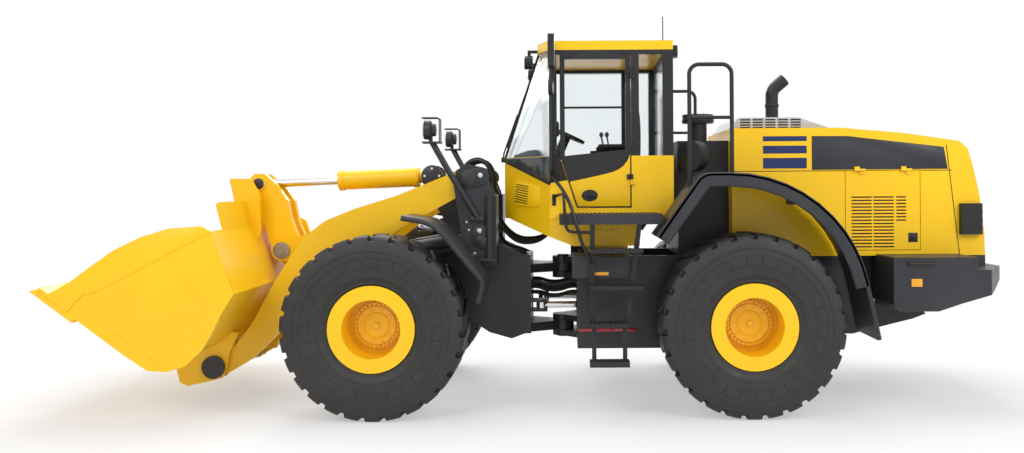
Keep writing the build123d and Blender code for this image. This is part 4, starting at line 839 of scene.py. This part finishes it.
door_louvres = [
    ((3.257, 1.757), (0.212, 0.032), (2, 16), 0.195),
    ((3.533, 1.885), (0.12, 0.032), (1, 8), 0.095),
]
hood_sides = ((-1, "left"), (1, "right"))
for side, name in hood_sides:
    gaps = bmesh.new()
    lips = bmesh.new()
    for (slot_x, slot_z), pitch, counts, length in door_louvres:
        # Each gap is a thin dark strip of painted shade under its lip, where the louvre's opening lies.
        gap_place = outward(slot_x, side * 0.7795, slot_z, side)
        add_slots(gaps, gap_place, pitch, counts, (length, 0.014, 0.004), black_trim_and_slot_shade)
        lip_place = outward(slot_x, side * 0.781, slot_z + 0.009, side)
        add_slots(lips, lip_place, pitch, counts, (length + 0.006, 0.006, 0.008), yellow)
    set_piece("hood_gaps_" + name, gaps, black_trim_and_slot_shade, "hood_door_" + name)
    set_piece("hood_lips_" + name, lips, yellow, "hood_door_" + name)
for side, name in hood_sides:
    latch = bmesh.new()
    add_plate(latch, [(3.60, 1.56), (3.69, 1.56), (3.69, 1.65), (3.60, 1.65)],
              *across(side, hood_face, hood_face + 0.006), 0.003)
    latch_knob = [(0.022, 0), (0.022, 0.008), (0.012, 0.011)]
    add_turned(latch, latch_knob, outward(3.645, side * 0.785, 1.605, side), 20)
    set_piece("hood_latch_" + name, latch, black, "hood_door_" + name)

# Cover, exhaust and intake on the hood
# A louvred steel cover in pale grey with its louvre openings drawn as dark strips of painted shade, a black
# stack with its clamp, and a plastic intake bowl.
# Dark slats fill the rear grille and follow its lean.
pale_grey = sprayed("pale_grey_enamel", (0.45, 0.47, 0.50), (0.40, 0.42, 0.45), 0.45, 0.1)
cover_outline = [(1.90, 2.669), (2.005, 2.79), (2.60, 2.79), (2.95, 2.669)]
cover_half = 0.56
cover_form = bmesh.new()
add_plate(cover_form, cover_outline, -cover_half, cover_half, 0.014)
cover = set_piece("hood_cover", cover_form, pale_grey, "rear_frame")
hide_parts("top_grille")
# The cover's slots are dark strips of painted shade where its louvre openings lie.
cover_slots = bmesh.new()
for side in (-1, 1):
    slot_place = outward(2.32, side * cover_half, 2.727, side)
    add_slots(cover_slots, slot_place, (0.125, 0.026), (5, 4), (0.1, 0.014, 0.003), black_trim_and_slot_shade)
set_piece("cover_slots", cover_slots, black_trim_and_slot_shade, "rear_frame")
rear_slats = bmesh.new()
slat_count = 13
slat_pitch = 0.05
slat_height = 0.024
slat_foot = 1.67
grille_x = 4.341
grille_knee = 1.75
for row in range(slat_count):
    slat_z = slat_foot + row * slat_pitch
    lean = 0.165 * max(0.0, slat_z - grille_knee) ** 1.05
    slat_x = grille_x - 0.00011 * (slat_z - 1.55) - lean
    slat_depth = (slat_x - 0.02, slat_x + 0.004)
    for side in (-1, 1):
        add_side_block(rear_slats, side, slat_depth, (0.02, 0.54), (slat_z, slat_z + slat_height), 0.002)
set_piece("rear_slats", rear_slats, black_trim_and_slot_shade, "rear_grille")
coat(black, "exhaust_stack", "air_cleaner")
intake = bmesh.new()
stack_place = Matrix.Translation((2.39, -0.3, 0))
bowl_place = Matrix.Translation((1.63, -0.35, 0))
add_turned(intake, [(0.102, 2.79), (0.102, 2.80), (0.07, 2.806)], stack_place, 36)
add_turned(intake, [(0.068, 2.91), (0.071, 2.913), (0.071, 2.937), (0.068, 2.94)], stack_place, 36)
add_bolts(intake, Matrix.Translation((1.63, -0.35, 2.834)), 6, 0.09, 0.007, black)
add_turned(intake, [(0.158, 2.757), (0.162, 2.763), (0.162, 2.783), (0.158, 2.789)], bowl_place, 40)
add_turned(intake, [(0.035, 2.826), (0.035, 2.838), (0.026, 2.842)], bowl_place, 20)
set_piece("intake_trim", intake, black, "rear_frame")

# Tail
# Lamp boxes of black plastic with domed red and amber lenses, amber side reflectors,
# red bars low on the frame and a grab handle on each battery box.
coat(black, "tail_lamps")


def lens_finish(name, colour, deep):
    finish, tree, shader = new_finish(name)
    tint = spread(tree, object_noise(tree, 45.0, 2.0), 0, 1)
    rough = spread(tree, object_noise(tree, 9.0, 2.0), 0.1, 0.2)
    tone = mixed(tree, tint, colour, deep)
    fill(tree, shader, {"Base Color": tone, "Roughness": rough, "Coat Weight": 0.5})
    bumped(tree, shader, object_noise(tree, 220.0, 1.0), 0.15, 0.001)
    return finish


red_lens = lens_finish("red_lens", (0.42, 0.008, 0.010), (0.30, 0.005, 0.008))
amber_lens = lens_finish("amber_lens", (0.95, 0.42, 0.01), (0.85, 0.34, 0.008))
red_lenses = bmesh.new()
amber_lenses = bmesh.new()
box_handles = bmesh.new()
lens_dome = [(0.026, 0), (0.026, 0.004), (0.02, 0.009), (0.008, 0.012)]
for side in (-1, 1):
    for lens_z in (1.70, 1.765):
        add_turned(red_lenses, lens_dome, Matrix.Translation((4.295, side * 0.81, lens_z)) @ behind, 24)
    add_turned(amber_lenses, lens_dome, Matrix.Translation((4.295, side * 0.81, 1.85)) @ behind, 24)
    add_side_block(red_lenses, side, (0.40, 0.98), (0.6, 0.612), (0.685, 0.715), 0.003)
    add_side_block(amber_lenses, side, (3.45, 3.55), (1.28, 1.286), (1.178, 1.25), 0.003)
    add_side_block(amber_lenses, side, (0.55, 0.68), (1.23, 1.235), (1.295, 1.325), 0.002)
    handle_y = side * 1.315
    handle_path = [
        (3.42, side * 1.275, 1.39), (3.42, handle_y, 1.39), (3.45, handle_y, 1.39), (3.63, handle_y, 1.39),
        (3.66, handle_y, 1.39), (3.66, side * 1.275, 1.39),
    ]
    add_tube(box_handles, handle_path, 0.009)
set_piece("red_lenses", red_lenses, red_lens, "rear_frame")
set_piece("amber_lenses", amber_lenses, amber_lens, "rear_frame")
set_piece("box_handles", box_handles, black, "rear_frame")

# Cab shell and glass
# A pressed tub in yellow enamel, black posts and door frame, tinted safety glass set in rubber.
# A black moulding follows the nose's sloping edge.
coat(yellow, "cab_tub", "cab_roof")
coat(black, "cab_posts", "cab_door")
glass, glass_tree, glass_shader = new_finish("cab_glass")
glass_shade = object_noise(glass_tree, 3.0, 2.0)
glass_tone = mixed(glass_tree, spread(glass_tree, glass_shade, 0, 1), (0.72, 0.80, 0.82), (0.68, 0.77, 0.80))
fill(glass_tree, glass_shader, {
    "Base Color": glass_tone, "Roughness": 0.02, "IOR": 1.05, "Transmission Weight": 1.0, "Alpha": 0.32,
})
coat(glass, "cab_glass", "windscreen", "cab_door_glass")
nose_trim = bmesh.new()
nose_edge = [(0.14, -0.836, 2.148), (-0.331, -0.304, 2.388), (-0.331, 0.304, 2.388), (0.14, 0.836, 2.148)]
add_bar(nose_trim, nose_edge, 0.02)
add_bar(nose_trim, [(-0.322, -0.301, 2.40), (0.03, -0.542, 3.42)], 0.012)
add_bar(nose_trim, [(-0.322, 0.301, 2.40), (0.03, 0.542, 3.42)], 0.012)
wiper_path = [(-0.352, -0.12, 2.40), (-0.347, -0.12, 2.46), (-0.20, -0.16, 2.86)]
add_bar(nose_trim, wiper_path, 0.008)
add_bar(nose_trim, [(-0.31, -0.14, 2.52), (-0.12, -0.17, 3.06)], 0.010)
add_block(nose_trim, (-0.372, -0.15, 2.37), (-0.326, -0.09, 2.42), 0.006)
post_foot = [(0.136, 2.42), (0.23, 2.42), (0.308, 2.178), (0.136, 2.150)]
for side in (-1, 1):
    add_side_block(nose_trim, side, (0.16, 0.196), (0.83, 0.842), (1.934, 2.044))
    add_plate(nose_trim, post_foot, *across(side, 0.829, 0.834), 0.0015)
set_piece("nose_trim", nose_trim, black_trim_and_slot_shade, "rear_frame")

# Nose panes, nose louvres and belly
# Opaque dark panes lie on the tub from the belt down to the moulding: glossy glass whose dark
# colour is painted shade of the cab's interior behind it. A slotted steel cover sits on each yellow nose
# side, its slots drawn as dark strips of painted shade, and folded skirts close the slope between nose and
# belly.
nose_tip = Vector((-0.326, 0.30))
nose_heel = Vector((0.135, 0.83))
nose_length = (nose_heel - nose_tip).length
pane_outline = [(0.0, 2.386), (nose_length, 2.152), (nose_length, 2.405), (0.0, 2.405)]


def nose_side(side):
    along = Vector((nose_heel.x - nose_tip.x, side * (nose_heel.y - nose_tip.y), 0)).normalized()
    out = Vector((-abs(along.y), side * along.x, 0))
    columns = (along, Vector((0, 0, 1)), out)
    turn = Matrix([[column[row] for column in columns] for row in range(3)]).to_4x4()
    return Matrix.Translation((nose_tip.x, side * nose_tip.y, 0)) @ turn


def add_nose_plate(form, outline, depth_low, depth_high, side, edge):
    local = bmesh.new()
    add_plate(local, outline, -depth_high, -depth_low, edge)
    swap_axes = Matrix(((1, 0, 0, 0), (0, 0, 1, 0), (0, -1, 0, 0), (0, 0, 0, 1)))
    bmesh.ops.transform(local, matrix=nose_side(side) @ swap_axes, verts=local.verts)
    mesh = bpy.data.meshes.new("nose_plate")
    local.to_mesh(mesh)
    local.free()
    form.from_mesh(mesh)
    bpy.data.meshes.remove(mesh)


# Glossy tinted glass, opaque, with the dim cab interior behind it painted in as shade.
glass_and_interior_shade = sprayed("glass_and_interior_shade", (0.035, 0.045, 0.050), (0.055, 0.068, 0.074), 0.06, 0.6, 0.0, 0.0)
nose_panes = bmesh.new()
nose_covers = bmesh.new()
nose_gaps = bmesh.new()
belly_skirts = bmesh.new()
louvre_outline = [
    (0.15, 1.94), (0.18, 1.92), (0.55, 1.92), (0.58, 1.95), (0.58, 2.12), (0.18, 2.19), (0.15, 2.17),
]
louvre_lean = Matrix.Translation((0.285, 2.045, 0.0115)) @ Matrix.Rotation(math.radians(-8), 4, "Z")
skirt_top = 1.803
skirt_wall = 0.03
belly_slope = 0.398
nose_slope = 0.53 / 0.461
for side in (-1, 1):
    add_nose_plate(nose_panes, pane_outline, 0.0005, 0.004, side, 0.001)
    add_nose_plate(nose_covers, louvre_outline, 0.0, 0.012, side, 0.004)
    louvre_place = nose_side(side) @ louvre_lean
    # The nose cover's slots are dark strips of painted shade where its openings lie.
    add_slots(nose_gaps, louvre_place, (0.2, 0.024), (1, 8), (0.20, 0.009, 0.003), black_trim_and_slot_shade)
    rings = []
    for skirt_x in (-0.27, -0.10, 0.05, 0.135, 0.25, 0.362):
        skirt_y = min(nose_heel.y, nose_tip.y + (skirt_x - nose_tip.x) * nose_slope)
        skirt_low = 1.80 - belly_slope * (skirt_x + 0.286)
        inner_y = skirt_y - skirt_wall
        ring = [(skirt_y, skirt_top), (skirt_y, skirt_low), (inner_y, skirt_low), (inner_y, skirt_top)]
        rings.append([belly_skirts.verts.new((skirt_x, side * y, z)) for y, z in ring])
    join_rings(belly_skirts, rings)
set_piece("nose_panes", nose_panes, glass_and_interior_shade, "rear_frame")
set_piece("nose_covers", nose_covers, yellow, "rear_frame")
set_piece("nose_gaps", nose_gaps, black_trim_and_slot_shade, "rear_frame")
set_piece("belly_skirts", belly_skirts, yellow, "rear_frame")

# Cab door
# A black frame with a yellow lower skin that sweeps up to the hinge side,
# an oval pull handle in a dish, and a grab bar across the window inside.
door_skin = bmesh.new()
skin_outline = [
    (0.330, 2.162), (0.408, 1.924), (0.911, 1.924), (0.911, 2.425), (0.888, 2.362), (0.850, 2.312),
    (0.800, 2.276), (0.740, 2.252), (0.620, 2.222), (0.430, 2.182),
]
add_plate(door_skin, skin_outline, -0.8345, -0.830, 0.0015)
set_piece("door_skin", door_skin, yellow, "cab_door")


def oval(x, z, half_width, half_height, pace, count):
    angles = [pace * step for step in range(count)]
    return [(x + half_width * math.cos(angle), z + half_height * math.sin(angle)) for angle in angles]


door_fittings = bmesh.new()
handle_oval = oval(0.521, 2.029, 0.078, 0.056, 0.2, 31)
add_plate(door_fittings, handle_oval, -0.8385, -0.8345, 0.001)
pull_oval = oval(0.527, 2.029, 0.05, 0.03, 0.25, 25)
add_plate(door_fittings, pull_oval, -0.846, -0.8385, 0.003)
lock_barrel = [(0.011, 0), (0.011, 0.004), (0.006, 0.006)]
add_turned(door_fittings, lock_barrel, outward(0.463, -0.8385, 2.029, -1), 16)
add_bar(door_fittings, [(0.27, -0.762, 2.88), (0.89, -0.762, 2.88)], 0.011)
set_piece("door_fittings", door_fittings, black, "cab_door")

# Seat
# A sprung pedestal with sewn cloth cushions: crowned base, back with two channels and a head rest.
# Each cushion is a rounded closed form whose sides pull in between the corners.
cloth_dark = (0.020, 0.020, 0.024)
cloth_pale = (0.055, 0.055, 0.06)
corner_power = 7
side_pull = 0.05
seam_places = (-0.45, 0.45)
seam_depth = 0.35
seam_width = 0.05
cloth = mottled("seat_cloth", (160.0, 2.0), cloth_dark, cloth_pale, (0.9, 0.9), 0.0, (0.3, 0.002))


def add_cushion(form, low, high, crown, up):
    bmesh.ops.create_cube(form, size=2.0)
    bmesh.ops.subdivide_edges(form, edges=form.edges[:], cuts=13, use_grid_fill=True)
    middle = (Vector(low) + Vector(high)) / 2
    half = (Vector(high) - Vector(low)) / 2
    flat = [axis for axis in range(3) if axis != up]
    for vert in form.verts:
        place = vert.co.copy()
        power = sum(abs(part) ** corner_power for part in place) ** (-1 / corner_power)
        rounded = place * power
        one = rounded[flat[0]]
        two = rounded[flat[1]]
        rounded[flat[1]] *= 1 - side_pull * (1 - one * one) * abs(two) ** 6
        rounded[flat[0]] *= 1 - side_pull * (1 - two * two) * abs(one) ** 6
        swell = crown * (1 - one * one) * (1 - two * two)
        for seam in seam_places:
            swell -= seam_depth * crown * math.exp(-((rounded[1] - seam) / seam_width) ** 2)
        rounded[up] *= 1 - crown + swell
        vert.co = Vector(middle[axis] + rounded[axis] * half[axis] for axis in range(3))


for cushion_name, cushion_low, cushion_high, cushion_crown, cushion_up in (
    ("seat_cushion", (0.52, -0.26, 2.17), (1.04, 0.26, 2.32), 0.22, 2),
    ("seat_back", (0.925, -0.25, 2.30), (1.075, 0.25, 2.91), 0.25, 0),
    ("head_rest", (0.945, -0.13, 2.92), (1.055, 0.13, 3.13), 0.25, 0),
):
    cushion_form = bmesh.new()
    add_cushion(cushion_form, cushion_low, cushion_high, cushion_crown, cushion_up)
    cushion = set_piece(cushion_name, cushion_form, cloth, "rear_frame", 80)
    if cushion_name == "seat_cushion":
        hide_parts("seat")
pedestal = bmesh.new()
for fold in range(5):
    rise = 1.88 + fold * 0.055
    add_block(pedestal, (0.64 + 0.008 * (fold % 2), -0.18, rise), (0.90, 0.18, rise + 0.05), 0.018)
add_block(pedestal, (0.60, -0.21, 1.86), (0.94, 0.21, 1.885), 0.006)
add_block(pedestal, (0.58, -0.22, 2.148), (0.98, 0.22, 2.18), 0.01)
for side in (-1, 1):
    add_bar(pedestal, [(1.0, side * 0.05, 2.88), (1.0, side * 0.05, 2.96)], 0.008)
    add_side_block(pedestal, side, (0.62, 0.98), (0.275, 0.335), (2.50, 2.545), 0.016)
    add_side_block(pedestal, side, (0.93, 0.97), (0.29, 0.32), (2.25, 2.51), 0.008)
    add_side_block(pedestal, side, (0.93, 0.97), (0.2, 0.32), (2.24, 2.28), 0.006)
set_piece("seat_pedestal", pedestal, black, "rear_frame")

# Dash and controls
# Moulded grey plastic: a dash in the nose and a lever pod on the side box,
# with a black screen on a stalk and a black console.
coat(black, "console")
grey_plastic = sprayed("grey_plastic", (0.10, 0.12, 0.125), (0.13, 0.15, 0.155), 0.6, 0.0, 0.1)
dash = bmesh.new()
dash_outline = [
    (-0.262, 2.36), (-0.235, 2.44), (-0.10, 2.49), (0.02, 2.50), (0.07, 2.45), (0.05, 2.30), (0.04, 2.16),
    (-0.02, 2.12),
]
add_plate(dash, dash_outline, -0.24, 0.24, 0.02)
add_plate(dash, [(0.08, 2.28), (0.15, 2.24), (0.15, 1.90), (0.08, 1.90)], -0.60, 0.60, 0.02)
lever_pod = [(0.62, 2.50), (0.66, 2.56), (0.98, 2.56), (1.02, 2.50)]
add_plate(dash, lever_pod, 0.29, 0.41, 0.012)
for lever_x in (0.70, 0.76):
    add_bar(dash, [(lever_x, 0.35, 2.55), (lever_x - 0.02, 0.35, 2.66)], 0.009)
    add_turned(dash, [(0.012, 0), (0.022, 0.015), (0.022, 0.04), (0.008, 0.055)],
               Matrix.Translation((lever_x - 0.02, 0.35, 2.65)), 16)
set_piece("dash", dash, grey_plastic, "rear_frame")
screen = bmesh.new()
add_tube(screen, [(0.16, -0.30, 2.27), (0.17, -0.42, 2.50), (0.20, -0.46, 2.66)], 0.012)
add_block(screen, (0.19, -0.56, 2.62), (0.225, -0.36, 2.76), 0.01)
add_block(screen, (0.224, -0.545, 2.635), (0.228, -0.375, 2.745), 0.001)
set_piece("cab_screen", screen, black, "rear_frame")

# Grab rails
# Bent tube in black enamel: one up each front post, one from its foot out to the ladder,
# and a short one from the tub round the platform's corner.
grab_rails = bmesh.new()
for side in (-1, 1):
    post_rail = [(0.165, 0.825, 3.12), (0.15, 0.895, 3.12), (0.15, 0.895, 3.02), (0.15, 0.895, 2.36),
                 (0.15, 0.895, 2.25), (0.165, 0.825, 2.25)]
    ladder_rail = [(0.165, 0.825, 2.215), (0.20, 0.93, 2.16), (0.26, 1.06, 2.09), (0.33, 1.29, 1.96),
                   (0.375, 1.335, 1.80), (0.45, 1.325, 1.55), (0.51, 1.30, 1.44), (0.525, 1.265, 1.40)]
    corner_rail = [(0.18, 0.835, 2.02), (0.25, 0.93, 2.05), (0.27, 1.25, 2.03), (0.275, 1.33, 1.95),
                   (0.285, 1.33, 1.80), (0.30, 1.33, 1.71), (0.38, 1.325, 1.695), (0.52, 1.27, 1.695)]
    for rail, rail_radius in ((post_rail, 0.016), (ladder_rail, 0.016), (corner_rail, 0.014)):
        add_tube(grab_rails, [(x, side * y, z) for x, y, z in rail], rail_radius)
set_piece("grab_rails", grab_rails, black, "rear_frame")

# Platforms and ladders
# Folded steel steps with rows of punched teeth, set out by one tree over each tread,
# and rows of studs from the same tree on the belly's sides.
coat(black, "ladders", "handrails", "mirrors", "aerial")
tooth_sockets = (
    ("Sides", "Int", "Vertices"), ("Foot radius", "Float", "Radius Bottom"),
    ("Top radius", "Float", "Radius Top"), ("Height", "Float", "Depth"),
)
tooth_grid = grid_tree("tooth_grid", "GeometryNodeMeshCone", tooth_sockets, "Teeth")
treads = [
    (0.51, 0.985, 1.23, 1.43, 1.544, 12, 5), (0.508, 0.985, 1.23, 1.43, 1.214, 12, 5),
    (0.50, 0.86, 1.23, 1.43, 0.874, 9, 5), (0.50, 0.86, 1.26, 1.43, 0.530, 9, 4),
    (0.26, 1.16, 0.86, 1.29, 1.860, 22, 10),
]
step_teeth = bmesh.new()
for side in (-1, 1):
    for x_low, x_high, y_low, y_high, top, columns, rows in treads:
        tread_settings = {
            "Length": x_high - x_low - 0.06, "Width": y_high - y_low - 0.05, "Columns": columns, "Rows": rows,
            "Sides": 8, "Foot radius": 0.011, "Top radius": 0.006, "Height": 0.006, "Finish": black,
        }
        tread_middle = ((x_low + x_high) / 2, side * (y_low + y_high) / 2, top)
        add_baked(step_teeth, tooth_grid, tread_settings, Matrix.Translation(tread_middle))
set_piece("step_teeth", step_teeth, black, "rear_frame")
belly_studs = bmesh.new()
for side in (-1, 1):
    stud_settings = {
        "Length": 0.36, "Width": 0.045, "Columns": 8, "Rows": 2, "Sides": 8, "Foot radius": 0.017,
        "Top radius": 0.010, "Height": 0.006, "Finish": yellow,
    }
    add_baked(belly_studs, tooth_grid, stud_settings, outward(0.60, side * 0.83, 1.72, side))
set_piece("belly_studs", belly_studs, yellow, "rear_frame")

# Mirrors
# Silvered glass pressed into the housings, facing back to the driver.
mirror_glass = mottled("mirror_glass", (4.0, 2.0), (0.80, 0.82, 0.84), (0.74, 0.76, 0.79), (0.02, 0.06), 1.0)
mirror_faces = bmesh.new()
for side in (-1, 1):
    add_side_block(mirror_faces, side, (0.189, 0.193), (0.985, 1.175), (3.25, 3.516), 0.001)
    round_profile = [(0.066, 0), (0.066, 0.002), (0.04, 0.008), (0.01, 0.011)]
    add_turned(mirror_faces, round_profile, Matrix.Translation((0.175, side * 1.08, 3.047)) @ behind, 32)
set_piece("mirror_faces", mirror_faces, mirror_glass, "rear_frame")
